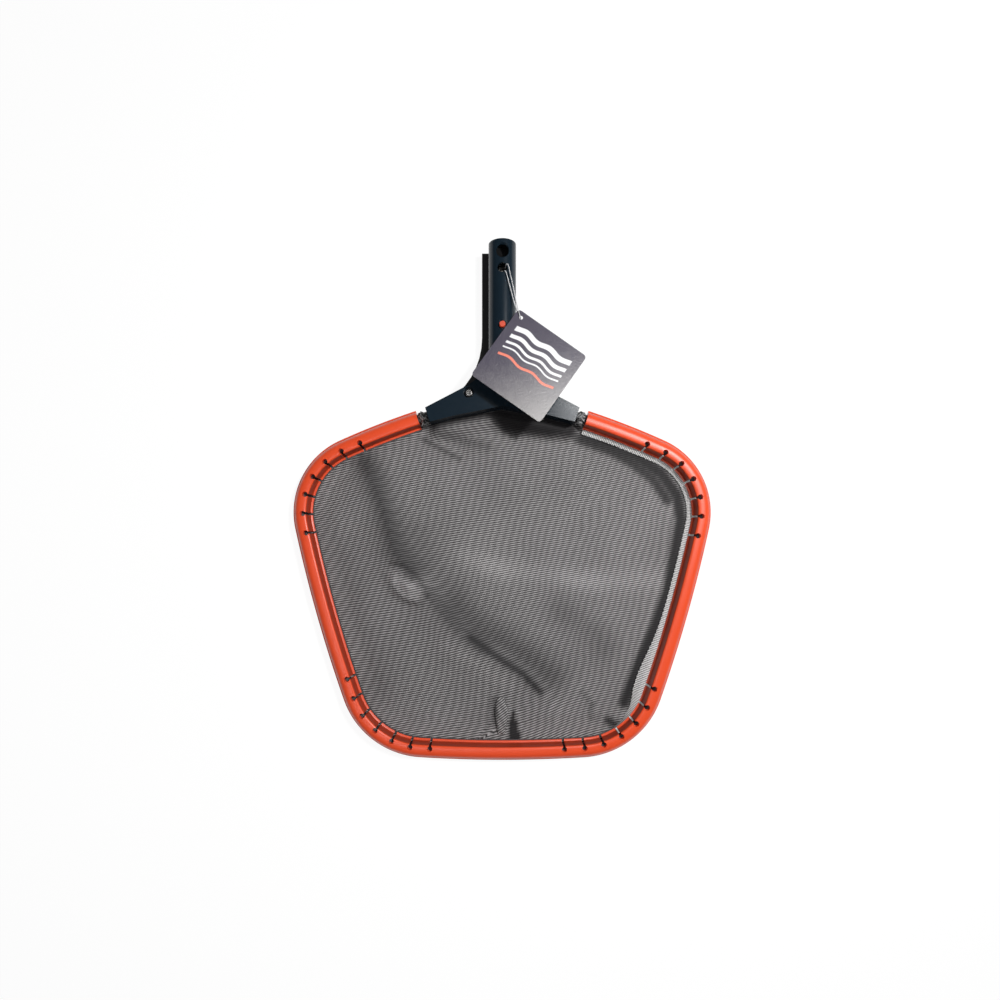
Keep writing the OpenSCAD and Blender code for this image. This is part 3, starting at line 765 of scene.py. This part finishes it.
class SKIMMER_OT_loop(Step, bpy.types.Operator):
    """Lay the card's string loop through the screwdriver hole and the card"""

    bl_idname = "skimmer.loop"
    bl_label = "String Loop"
    steps = 3

    def build(self, sizes):
        route = [DRIVER_HOLE + MM * Vector(point) for point in LOOP_ROUTE]
        last = len(route) - 1
        points = []
        for i in range(last):
            a, b = route[max(i - 1, 0)], route[i]
            c, d = route[i + 1], route[min(i + 2, last)]
            for t in (k / self.steps for k in range(self.steps)):
                points.append(0.5 * (
                    2 * b + (c - a) * t + (2 * a - 5 * b + 4 * c - d) * t ** 2
                    + (3 * b - a - 3 * c + d) * t ** 3
                ))
        points.append(route[last])
        loop = line_curve("string_loop", points, flat=False)
        loop.data.bevel_depth = sizes.loop_diameter / 2
        loop.data.bevel_resolution = 3
        loop.data.use_fill_caps = True
        loop.data.splines[0].use_smooth = True
        dress(loop, "string")
        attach(loop, "tag")
        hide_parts("tag_loop")
        length = sum((q - p).length for p, q in zip(points, points[1:]))


# ---- edge guard ----

# The cutters for the slits and keyholes: their middles' distance out, the slits' length and foot,
# and the height of both
SLIT_OUT, KEYHOLE_OUT = -9.5 * MM, -3.3 * MM
SLIT_LONG, SLIT_FOOT, CUTTER_HIGH = 12.4 * MM, 4.41 * MM, 20 * MM
# Distance along the hoop from which the slits show cloth painted pale with painted light, and the wall
# that the cloth lines, as (distance out, height) in millimetres
LINED_FROM = 118 * MM
LINED_WALL = ((-9.3, 4.9), (-8.2, 6.0), (-7.3, 8.5), (-7.0, 12), (-6.7, 15.4))


def guard_section():
    """The guard's wall as a closed outline of (distance out, height)"""
    crown_out, crown_high, flank_wide, flank_low = -1.9, 20.05, 10.4, 5.2
    flank = [
        (crown_out + flank_wide * math.cos(t) ** 0.8, flank_low + (crown_high - flank_low) * math.sin(t))
        for t in (math.radians(a) for a in range(0, 91, 6))
    ]
    channel = [
        (5.6 * math.cos(a), 9.4 + 5.6 * math.sin(a))
        for a in (math.radians(-90 + 330 * k / 22) for k in range(23))
    ]
    outer = [
        (-6.6, 0), (10.5, 0), (11.4, 0.25), (11.9, 0.9), (12, 2.1), (11.8, 2.7), (11.2, 3.1),
        (9.9, 3.9), (9.0, 4.5),
        *flank,
        (-3.4, 20.0), (-4.7, 19.85), (-5.6, 19.5), (-6.3, 19.0), (-6.8, 18.3), (-7.0, 17.4),
        (-7.4, 7.4), (-7.6, 6.6), (-8.1, 6.1), (-9.1, 5.85), (-9.55, 5.55), (-9.7, 5.1),
        (-9.7, 4.6), (-9.5, 4.4),
    ]
    inner = [*reversed(channel), (0, 2.2), (-6.6, 2.2)]
    return [(MM * out, MM * z) for out, z in outer + inner]


def slit_runs(sizes):
    """Distances along the hoop at which the guard is slit"""
    offsets = [(i - (sizes.slits - 1) / 2) * sizes.slit_pitch for i in range(sizes.slits)]
    corners = ((CORNER_RUN, CORNER_SLID), (SHOULDER_RUN, SHOULDER_SLID))
    return [side * (run + offset) - slid for side in (1, -1)
            for run, slid in corners for offset in offsets]


class SKIMMER_OT_guard(Step, bpy.types.Operator):
    """Sweep the edge guard round the hoop and slit it at the corners"""

    bl_idname = "skimmer.guard"
    bl_label = "Edge Guard"

    def build(self, sizes):
        guard = sweep_round_hoop(
            "guard_rim", guard_section(), spread(-GUARD_RUN, GUARD_RUN, 4 * MM)
        )
        for cutter in (self.slit_cutter, self.keyhole_cutter):
            cutters = join([cutter(sizes, run) for run in slit_runs(sizes)])
            finish_modifier(guard, "BOOLEAN", operation="DIFFERENCE", object=cutters, solver="EXACT")
            bpy.data.objects.remove(cutters)
        smooth(mend(guard), 40)
        finish_modifier(guard, "WEIGHTED_NORMAL", weight=80, keep_sharp=True)
        mark(guard, "Out", distance_out(vertex_places(guard)))
        dress(guard, "guard")
        settle(guard, "skimmer", "guard", "edge_guard")
        self.line_slits(sizes)

    def slit_cutter(self, sizes, run):
        deselect()
        bpy.ops.mesh.primitive_cube_add(
            size=1, location=beside_hoop(run, SLIT_OUT, SLIT_FOOT + CUTTER_HIGH / 2),
            rotation=(0, 0, hoop_place(run)[1] - math.pi / 2),
            scale=(SLIT_LONG, sizes.slit_width, CUTTER_HIGH),
        )
        return bpy.context.object

    def keyhole_cutter(self, sizes, run):
        deselect()
        bpy.ops.mesh.primitive_cylinder_add(
            vertices=24, radius=sizes.keyhole / 2, depth=CUTTER_HIGH,
            location=beside_hoop(run, KEYHOLE_OUT, HOOP_Z + CUTTER_HIGH / 2),
        )
        return bpy.context.object

    def line_slits(self, sizes):
        """Strips of the sleeve's cloth that show in the slits of the right-hand side, pale with painted
        light
        """
        strips = []
        for run in (run for run in slit_runs(sizes) if run > LINED_FROM):
            strip = grid("slit_lining", 1, len(LINED_WALL) - 1)
            for vertex in strip.data.vertices:
                out, z = LINED_WALL[round((vertex.co.y + 1) / 2 * (len(LINED_WALL) - 1))]
                vertex.co = beside_hoop(run + 0.36 * sizes.slit_width * vertex.co.x, MM * out, MM * z)
            strips.append(strip)
        lining = join(strips)
        lining.name = lining.data.name = "slit_lining"
        finish_modifier(lining, "SOLIDIFY", thickness=0.3 * MM, offset=0)
        dress(lining, "lining")
        settle(lining, "skimmer", "net")


# ---- net ----

# The cloth's main fold, as seen from above, in millimetres
MAIN_FOLD = ((-157, 56), (-148, 44), (-137, 22), (-128, 3), (-122, -20), (-116, -43), (-94, -75),
             (-76, -96), (-67, -107), (-37, -144), (-2, -164), (27, -184), (44, -201), (54, -220))
# Creases: points, how high the cloth stands on the crease's right-hand side as a share of the fold
# height, the crease's half width and the half width of its tail
CREASES = (
    (MAIN_FOLD, 1.0, 7, 26),
    (((-85, 73), (-65, 62), (-46, 52)), 0.5, 3.5, 14),
    (((-43, 74), (-18, 70), (-2, 66)), 0.4, 3, 16),
    (((87, -199), (95, -208), (98, -227)), 0.4, 3, 12),
    (((60, -137), (100, -125), (140, -125)), 0.2, 9, 30),
    (((30, 23), (60, 13), (100, 17), (150, 5)), 0.15, 12, 34),
)
# The raised spot left of the middle: its place, half length and half width in millimetres, its
# height as a share of the fold height, and its turn
KNOLL = (-101, -85, 15, 9, 0.75, math.radians(-42))
# Painted shade and painted light on the cloth, drawn darker or lighter: the main fold's shaded side,
# the shadow band inside the right-hand hem, the shade under the yoke and the card, and lit patches.
# Each has points, half width, strength and how firm the edge is
PAINTED_SHADING = (
    (((-147, 48), (-136, 28), (-124, -3), (-113, -42), (-96, -67)), 14, -0.72, 2),
    (((-77, -92), (-48, -126), (-20, -150)), 9, -0.5, 2),
    (((-34, -140), (-8, -158), (22, -178), (40, -197)), 4.5, -0.92, 2),
    (((-48, -109), (-15, -135), (22, -157), (53, -182)), 19, -0.5, 2),
    (((-92, -30), (-76, -62), (-52, -92)), 18, -0.25, 2),
    (((-118, -60), (-104, -63), (-88, -77), (-79, -96)), 2.4, -0.5, 2),
    (((-126, -74), (-118, -92), (-104, -102), (-88, -104)), 3.5, -0.3, 2),
    (((-112, -76), (-103, -84), (-92, -92)), 8, 1.0, 2),
    (((-37, -53), (-15, -62), (30, -72), (92, -78), (166, -78)), 12, 0.3, 2),
    (((-16, -62), (2, -68)), 8, 0.2, 2),
    (((70, -76), (106, -83)), 9, 0.22, 2),
    (((-85, 73), (-65, 62), (-46, 52)), 3, -0.6, 2),
    (((-71, 80), (-43, 72), (-15, 65)), 6, -0.4, 2),
    (((-60, -149), (-20, -173), (10, -192)), 7, 0.16, 2),
    (((-124, 20), (-106, -26), (-90, -52)), 7, 0.14, 2),
    (((87, -199), (95, -208), (98, -227)), 4, -0.35, 2),
    (((64, -112), (98, -132), (110, -150)), 16, -0.28, 2),
    (((90, 79), (122, 67), (146, 54), (171, 36), (188, 12), (192, -14), (187, -42), (178, -90),
      (164, -128), (148, -166), (131, -210)), 6.5, -0.94, 4),
    (((84, 73), (118, 60), (140, 47), (162, 30), (177, 8)), 6.5, -0.88, 3),
    (((114, -229), (122, -234)), 5, -1, 2),
    (((-9, -206), (-9, -232)), 4, -0.5, 2),
    (((-190, -20), (-166, -70), (-150, -130), (-132, -190)), 16, -0.16, 2),
    (((-180, 52), (-150, 66), (-110, 80)), 12, -0.2, 2),
    (((-74, 85), (-48, 92), (0, 100), (30, 96), (60, 86)), 5, -0.9, 2),
    (((-2, 96), (30, 90), (70, 84)), 12, -0.97, 4),
    (((4, 84), (30, 82), (50, 80)), 8, -0.8, 2),
)
# Distance along the hoop from which the cloth beside the seam is partly clear
SEAM_START = 150 * MM
# How far the rows rise to the right and the columns lean
ROW_RISE, COLUMN_LEAN = math.radians(10.6), math.radians(17)
CLOTH_THICK = 0.5 * MM


def net_chains():
    """The net's outline as a lower and an upper chain of (x, y, height), each from left to right"""
    under_guard, edge_z = -2.4 * MM, 3.1 * MM
    rim = []
    for run in spread(0, GUARD_RUN, 3 * MM):
        point = beside_hoop(run, under_guard)
        rim.append((point.x, point.y, edge_z))
    widest = max(range(len(rim)), key=lambda i: rim[i][0])
    shelf = [(MM * x, MM * y, MM * z) for x, y, z in (
        (84, 92, 3.1), (77, 92.8, 4.4), (69, 92, 8.9), (48.8, 95.5, 8.9), (1.5, 104.8, 8.9),
        (0, 104.8, 8.9),
    )]
    lower, upper = rim[:widest + 1], rim[widest:] + shelf
    mirror = [(-x, y, z) for x, y, z in reversed(lower[1:])]
    upper = upper[::-1]
    return mirror + lower, [(-x, y, z) for x, y, z in reversed(upper[1:])] + upper


def beside_line(x, y, line):
    """Distance from arrays of places to a line of points, its sign on the left, and the share of it"""
    points = np.array(line, float) * MM
    away = np.full(x.shape, 1e9)
    side, share = np.zeros_like(x), np.zeros_like(x)
    lengths = np.hypot(*(points[1:] - points[:-1]).T)
    done = 0.0
    for a, b, long in zip(points, points[1:], lengths):
        d = (b - a) / long
        t = np.clip((x - a[0]) * d[0] + (y - a[1]) * d[1], 0, long)
        dx, dy = x - a[0] - t * d[0], y - a[1] - t * d[1]
        gap = np.hypot(dx, dy)
        closer = gap < away
        away = np.where(closer, gap, away)
        side = np.where(closer, np.sign(dx * d[1] - dy * d[0]), side)
        share = np.where(closer, (done + t) / lengths.sum(), share)
        done += long
    return away, side, share


def fold_sides(x, y, line, near, tail):
    """1 along a crease, falling off over near on its low side and tail on its high side"""
    away, side, share = beside_line(x, y, line)
    fade = np.sin(np.pi * np.clip(share, 0.02, 0.98)) ** 0.5
    reach = np.where(side < 0, near * MM, tail * MM)
    return fade * np.exp(-(away / reach) ** 2)


def crease_lift(x, y):
    """Height of the cloth's creases at arrays of places, as a share of the fold height"""
    return sum(high * fold_sides(x, y, line, near, tail) for line, high, near, tail in CREASES)


def painted_cloth_shading(x, y):
    """How much painted shade and painted light make the cloth darker or lighter than plain"""
    shading = np.ones_like(x)
    for line, half, strength, firm in PAINTED_SHADING:
        away = beside_line(x, y, line)[0]
        shading *= 1 + strength * np.exp(-(away / (half * MM)) ** firm)
    # Painted shade: a black wedge beside the pleat's foot
    wedge_tip, wedge_middle = -213 * MM, 11 * MM - 0.08 * (y + 218 * MM)
    inside = 0.2 * (wedge_tip - y) - np.abs(x - wedge_middle)
    shading *= 1 - 0.97 * np.clip(inside / (1.2 * MM) + 0.5, 0, 1)
    return shading - 1


def net_heights(x, y, edge_z, away):
    """Height of the cloth at arrays of places, from its edge's height and the distance to it"""
    sizes = bpy.context.scene.skimmer_sizes
    lowest = 1.1 * MM
    hang = 1 - ease(away, 9 * MM, 26 * MM)
    kx, ky, wide, narrow, high, turn = KNOLL
    dx, dy = x / MM - kx, y / MM - ky
    p = (dx * math.cos(turn) + dy * math.sin(turn)) / wide
    q = (-dx * math.sin(turn) + dy * math.cos(turn)) / narrow
    r = np.hypot(p, q)
    knoll = high * (np.exp(-(r / 0.8) ** 2) + 0.55 * np.exp(-((r - 1.25) / 0.22) ** 2))
    slack = 0.10 * np.sin(x * 38 + 1.3) * np.sin(y * 31 + 0.4)
    slack += 0.06 * np.sin(x * 83 + y * 47)
    folds = sizes.fold_height * (crease_lift(x, y) + knoll + slack + 0.16)
    return lowest + (edge_z - lowest) * hang + folds * ease(away, 10 * MM, 32 * MM)


class SKIMMER_OT_net(Step, bpy.types.Operator):
    """Lay the net's cloth between the guard and the yoke, with its creases"""

    bl_idname = "skimmer.net"
    bl_label = "Net"
    columns = 210
    rows = 150

    def build(self, sizes):
        lower, upper = (np.array(chain) for chain in net_chains())
        wide = lower[-1][0]
        a = np.linspace(-1, 1, self.columns + 1)
        x = wide * np.sin(a * np.pi / 2 * 0.96) / math.sin(np.pi / 2 * 0.96)
        low, high = np.interp(x, *lower[:, :2].T), np.interp(x, *upper[:, :2].T)
        b = np.linspace(0, 1, self.rows + 1)
        grid_x = np.repeat(x[:, None], self.rows + 1, 1)
        grid_y = low[:, None] + (high - low)[:, None] * b
        ring = np.concatenate([lower, upper[::-1]])
        away = np.full(grid_x.shape, 1e9)
        edge_z = np.zeros_like(grid_x)
        for p, q in zip(ring, np.roll(ring, -1, 0)):
            d = (q - p)[:2]
            long = max(float(d @ d), 1e-12)
            t = np.clip(((grid_x - p[0]) * d[0] + (grid_y - p[1]) * d[1]) / long, 0, 1)
            gap = np.hypot(grid_x - p[0] - t * d[0], grid_y - p[1] - t * d[1])
            closer = gap < away
            away = np.where(closer, gap, away)
            edge_z = np.where(closer, p[2] + t * (q[2] - p[2]), edge_z)
        z = net_heights(grid_x, grid_y, edge_z, away)
        net = grid("net_sheet", self.columns, self.rows)
        start = vertex_places(net)
        i = np.rint((start[:, 0] + 1) / 2 * self.columns).astype(int)
        j = np.rint((start[:, 1] + 1) / 2 * self.rows).astype(int)
        place = np.stack([grid_x[i, j], grid_y[i, j], z[i, j]], 1)
        net.data.vertices.foreach_set("co", place.ravel())
        map_threads(net, self.thread_places(place))
        # Painted shade and painted light of the cloth, stored for its finish
        mark(net, "PaintedShading", painted_cloth_shading(*place.T[:2]))
        seam_runs = spread(SEAM_START, GUARD_RUN - 4 * MM, 6 * MM)
        seam_line = [(beside_hoop(run, -10 * MM) / MM)[:2] for run in seam_runs]
        seam_away = beside_line(*place.T[:2], seam_line)[0]
        mark(net, "Clear", np.clip((4.6 * MM - seam_away) / (1.5 * MM), 0, 1))
        finish_modifier(net, "SOLIDIFY", thickness=CLOTH_THICK, offset=-1)
        smooth(net, 60)
        dress(net, "net")
        settle(net, "skimmer", "net", "net_bag")

    def thread_places(self, place):
        """Places along the rows and columns of thread, in metres, drawn in by the main fold"""
        x, y, z = place.T
        away, side, share = beside_line(x, y, ((-174, 88), *MAIN_FOLD, (62, -262)))
        right = 0.5 + 0.5 * np.tanh(away * side / (34 * MM))
        u = x * math.cos(COLUMN_LEAN) - y * math.sin(COLUMN_LEAN) + 2.2 * z
        v = y * math.cos(ROW_RISE) - x * math.sin(ROW_RISE)
        u += 30 * MM * right * np.sin(np.pi * np.clip(share, 0, 1))
        sway = 3 * MM * np.sin(x * 17) * np.sin(y * 14 + 1)
        v += 15 * MM * right * np.clip(share * 1.6 - 0.6, 0, 1) + sway
        return np.stack([u, v], 1)


class SKIMMER_OT_pleat(Step, bpy.types.Operator):
    """Fold the small tuck of cloth at the net's lower middle"""

    bl_idname = "skimmer.pleat"
    bl_label = "Pleat"

    def build(self, sizes):
        pleat = grid("net_pleat", 12, 24)
        top, foot = -204 * MM, -243 * MM
        for vertex in pleat.data.vertices:
            a, b = vertex.co.x, (vertex.co.y + 1) / 2
            bow = math.sin(math.pi * min(1, b * 1.02)) ** 0.7
            left = -4.5 * MM - 4.5 * MM * bow * b
            right = 9 * MM - 6.5 * MM * (1 - b) - 7 * MM * max(0, b - 0.62) / 0.38
            x = left + (right - left) * (a + 1) / 2
            y = foot + (top - foot) * b
            lift = 4.6 * MM + 3.0 * MM * bow * (0.35 + 0.65 * (a + 1) / 2) * (1 - a * a * 0.3)
            vertex.co = (x, y, lift)
        x, y, _ = vertex_places(pleat).T
        map_threads(pleat, np.stack([0.8 * x + 0.6 * y, 0.8 * y - 0.6 * x], 1))
        # Painted shade on the pleat's left-hand side
        mark(pleat, "PaintedShading", -0.75 * np.clip((-3 * MM - x) / (4 * MM), 0, 1))
        mark(pleat, "Clear", np.zeros_like(x))
        finish_modifier(pleat, "SOLIDIFY", thickness=CLOTH_THICK, offset=-1)
        smooth(pleat, 60)
        dress(pleat, "net")
        settle(pleat, "skimmer", "net")


class SKIMMER_OT_hem(Step, bpy.types.Operator):
    """Lay the hem along the guard's lip, wide and bright on the right-hand side"""

    bl_idname = "skimmer.hem"
    bl_label = "Hem"

    def build(self, sizes):
        runs = spread(-GUARD_RUN, GUARD_RUN, 1.5 * MM)
        hem = grid("hem_band", len(runs) - 1, 5)
        shade = []
        places = []
        for vertex in hem.data.vertices:
            run = runs[round((vertex.co.x + 1) / 2 * (len(runs) - 1))]
            b = (vertex.co.y + 1) / 2
            right = ease(run, 118 * MM, 186 * MM)
            belly = math.exp(-((run - 196 * MM) / (42 * MM)) ** 2)
            jag = 0.5 * MM * math.sin(run / MM * 2.9) * right
            width = 1.2 * MM + (3.6 * MM + 6.5 * MM * belly) * right + jag
            out = -7.6 * MM - (2.1 * MM + width) * (1 - b)
            z = 4.25 * MM + 0.9 * MM * math.sin(math.pi * (0.15 + 0.7 * b)) * right
            vertex.co = beside_hoop(run, out, z)
            places.append((run, out))
            shade.append(1 - right)
        map_threads(hem, places)
        mark(hem, "Shade", shade)
        finish_modifier(hem, "SOLIDIFY", thickness=0.4 * MM, offset=-1)
        smooth(hem, 60)
        dress(hem, "hem")
        settle(hem, "skimmer", "hem", "net_hem")


class SKIMMER_OT_sleeve(Step, bpy.types.Operator):
    """Gather the mesh sleeve round the hoop, bunched between the guard and the arms"""

    bl_idname = "skimmer.sleeve"
    bl_label = "Sleeve"
    sides = 18
    radius = 5.3 * MM

    def build(self, sizes):
        turns = [TURN * k / self.sides for k in range(self.sides)]
        ring = [(self.radius * math.cos(t), HOOP_Z + self.radius * math.sin(t)) for t in turns]
        sleeve = sweep_round_hoop("sleeve_tube", ring, spread(-SLEEVE_RUN, SLEEVE_RUN, 2 * MM))
        # The sleeve inside the guard gets loops darkened as painted shade
        dress(sleeve, "shade_painted_sleeve")
        settle(sleeve, "skimmer", "net", "net_sleeve")
        for side in (-1, 1):
            self.bunch(side)

    def bunch(self, side):
        """A crumpled ruff of cloth between the guard's end and the arm"""
        middle = beside_hoop(side * (GUARD_RUN + 5.4 * MM), -0.8 * MM, HOOP_Z - 0.3 * MM)
        heading = hoop_place(side * GUARD_RUN)[1]
        deselect()
        bpy.ops.mesh.primitive_ico_sphere_add(
            subdivisions=4, radius=1, location=middle, rotation=(0, 0, heading),
            scale=(6.6 * MM, 8.0 * MM, 7.2 * MM),
        )
        ruff = bpy.context.object
        ruff.name = ruff.data.name = "sleeve_ruff_" + ("left" if side < 0 else "right")
        bpy.ops.object.transform_apply(location=True, rotation=True, scale=True)
        creased = bpy.data.textures.new(ruff.name, "CLOUDS")
        creased.noise_scale = 3.2 * MM
        creased.noise_depth = 2
        finish_modifier(ruff, "DISPLACE", texture=creased, strength=5 * MM, mid_level=0.55)
        for vertex in ruff.data.vertices:
            vertex.co.z = max(vertex.co.z, 1.2 * MM)
        smooth(ruff, 50)
        dress(ruff, "sleeve")
        settle(ruff, "skimmer", "net")


# ---- yoke, neck and fasteners ----

class SKIMMER_OT_yoke(Step, bpy.types.Operator):
    """Round the edges of the yoke's shells"""

    bl_idname = "skimmer.yoke"
    bl_label = "Yoke"

    def build(self, sizes):
        for name, node, finish in (
            ("yoke_shell", "yoke_front", "yoke"), ("yoke_back", "yoke_rear", "rear"),
        ):
            shell = refined(name, node, sizes.shell_bevel)
            dress(shell, finish)
            settle(shell, "skimmer", finish, node)


class SKIMMER_OT_fasteners(Step, bpy.types.Operator):
    """Round the screws, nuts, plug and snap button, and finish what is inside"""

    bl_idname = "skimmer.fasteners"
    bl_label = "Fasteners"

    def build(self, sizes):
        for name, node, body, slot, finish in (
            ("arm_bolt_left", "arm_screw_left", "skimmer", "steel", "steel"),
            ("arm_bolt_right", "arm_screw_right", "skimmer", "steel", "steel"),
            ("nut_left", "arm_nut_left", "skimmer", "steel", "steel"),
            ("nut_right", "arm_nut_right", "skimmer", "steel", "steel"),
            ("back_screws", "rear_screws", "skimmer", "steel", "steel"),
            ("neck_bolt", "neck_screw", "skimmer", "steel", "steel"),
            ("neck_core", "neck_plug", "skimmer", "rear", "plug"),
            ("press_button", "snap_button", "button", "button", "button"),
        ):
            piece = refined(name, node, sizes.trim_bevel)
            dress(piece, finish)
            settle(piece, body, slot, node)
        for node, finish in (
            ("hoop_tube", "hoop"), ("hoop_pin_left", "steel"), ("hoop_pin_right", "steel"),
            ("button_spring", "steel"),
        ):
            dress(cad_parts[node], finish)


class SKIMMER_OT_card(Step, bpy.types.Operator):
    """Finish the hang card"""

    bl_idname = "skimmer.card"
    bl_label = "Hang Card"

    def build(self, sizes):
        dress(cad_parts["hang_tag"], "card")


# ---- stage ----

# The lamps: name, place, what they point at, size and power
LAMPS = (
    ("key", (0.56, 0.33, 1.03), (0, 0, 0), (0.13, 0.13), 13.5),
    ("fill", (-0.22, -0.30, 1.0), (0, 0, 0), (0.3, 0.3), 2.1),
    ("panel", (0.228, 0.222, 0.66), (0.07, 0.10, 0), (0.20, 0.10), 2.4),
)


class SKIMMER_OT_stage(Step, bpy.types.Operator):
    """Lay the pale floor and set the lamps"""

    bl_idname = "skimmer.stage"
    bl_label = "Stage"

    def build(self, sizes):
        deselect()
        bpy.ops.mesh.primitive_plane_add(size=24, location=(0, 0, -0.05 * MM))
        floor = bpy.context.object
        floor.name = "floor"
        floor.data.materials.append(self.floor_finish())
        for lamp in LAMPS:
            self.light(*lamp)
        bpy.data.objects["panel"].visible_diffuse = False
        self.air()

    def air(self):
        """A plain level of light all round; what is mirrored is white low down and dark overhead"""
        f = Finish("studio", bpy.data.worlds, "Background")
        bpy.context.scene.world = f.material
        direction = f.node("ShaderNodeTexCoord", output="Generated")
        mirrored = 1 - 0.95 * f.parts(direction)[2].step(-0.2, 0.12)
        camera = f.node("ShaderNodeLightPath", output="Is Camera Ray")
        rays = f.backdrop_rays()
        f.shade(color=(1, 1, 1), strength=0.14 * (1 - rays) + mirrored.most(camera) * rays)

    def light(self, name, place, aim, size, power):
        bpy.ops.object.light_add(type="AREA", location=place)
        lamp = bpy.context.object
        lamp.name = name
        lamp.data.shape = "RECTANGLE"
        lamp.data.size, lamp.data.size_y = size
        lamp.data.energy = power
        lamp.rotation_euler = (Vector(aim) - Vector(place)).to_track_quat("-Z", "Y").to_euler()

    def floor_finish(self):
        """White floor that keeps a faint shadow and stays white to the camera and to mirrors"""
        f = Finish("pale_floor")
        glow = f.node("ShaderNodeEmission", sockets={"Color": (1, 1, 1), "Strength": 1.05})
        f.shade(base_color=(0.86, 0.86, 0.86), roughness=0.7)
        body = Wire(f, f.shader.outputs[0])
        both = f.node("ShaderNodeMixShader", sockets={0: 0.87 * f.backdrop_rays(), 1: body, 2: glow})
        f.feed(f.tree.nodes["Material Output"].inputs["Surface"], both)
        return f.material


STEPS = (
    SKIMMER_OT_camera, SKIMMER_OT_loop, SKIMMER_OT_guard, SKIMMER_OT_pleat, SKIMMER_OT_hem,
    SKIMMER_OT_net, SKIMMER_OT_sleeve, SKIMMER_OT_yoke, SKIMMER_OT_fasteners, SKIMMER_OT_card,
    SKIMMER_OT_stage,
)


class SKIMMER_PT_panel(bpy.types.Panel):
    """Buttons for each part of the skimmer"""

    bl_idname = "SKIMMER_PT_panel"
    bl_label = "Leaf Skimmer"
    bl_space_type = "VIEW_3D"
    bl_region_type = "UI"
    bl_category = "Skimmer"

    def draw(self, context):
        for step in STEPS:
            self.layout.operator(step.bl_idname)
        for group in (context.scene.skimmer_sizes, context.scene.skimmer_colours):
            for name in group.__annotations__:
                self.layout.prop(group, name)


CLASSES = (SkimmerSizes, SkimmerColours, *STEPS, SKIMMER_PT_panel)


def register():
    for each in CLASSES:
        bpy.utils.register_class(each)
    bpy.types.Scene.skimmer_sizes = PointerProperty(type=SkimmerSizes)
    bpy.types.Scene.skimmer_colours = PointerProperty(type=SkimmerColours)


def unregister():
    del bpy.types.Scene.skimmer_colours
    del bpy.types.Scene.skimmer_sizes
    for each in reversed(CLASSES):
        bpy.utils.unregister_class(each)


def main():
    register()
    for step in STEPS:
        group, name = step.bl_idname.split(".")
        getattr(getattr(bpy.ops, group), name)()
    deselect()


if __name__ == "__main__":
    main()
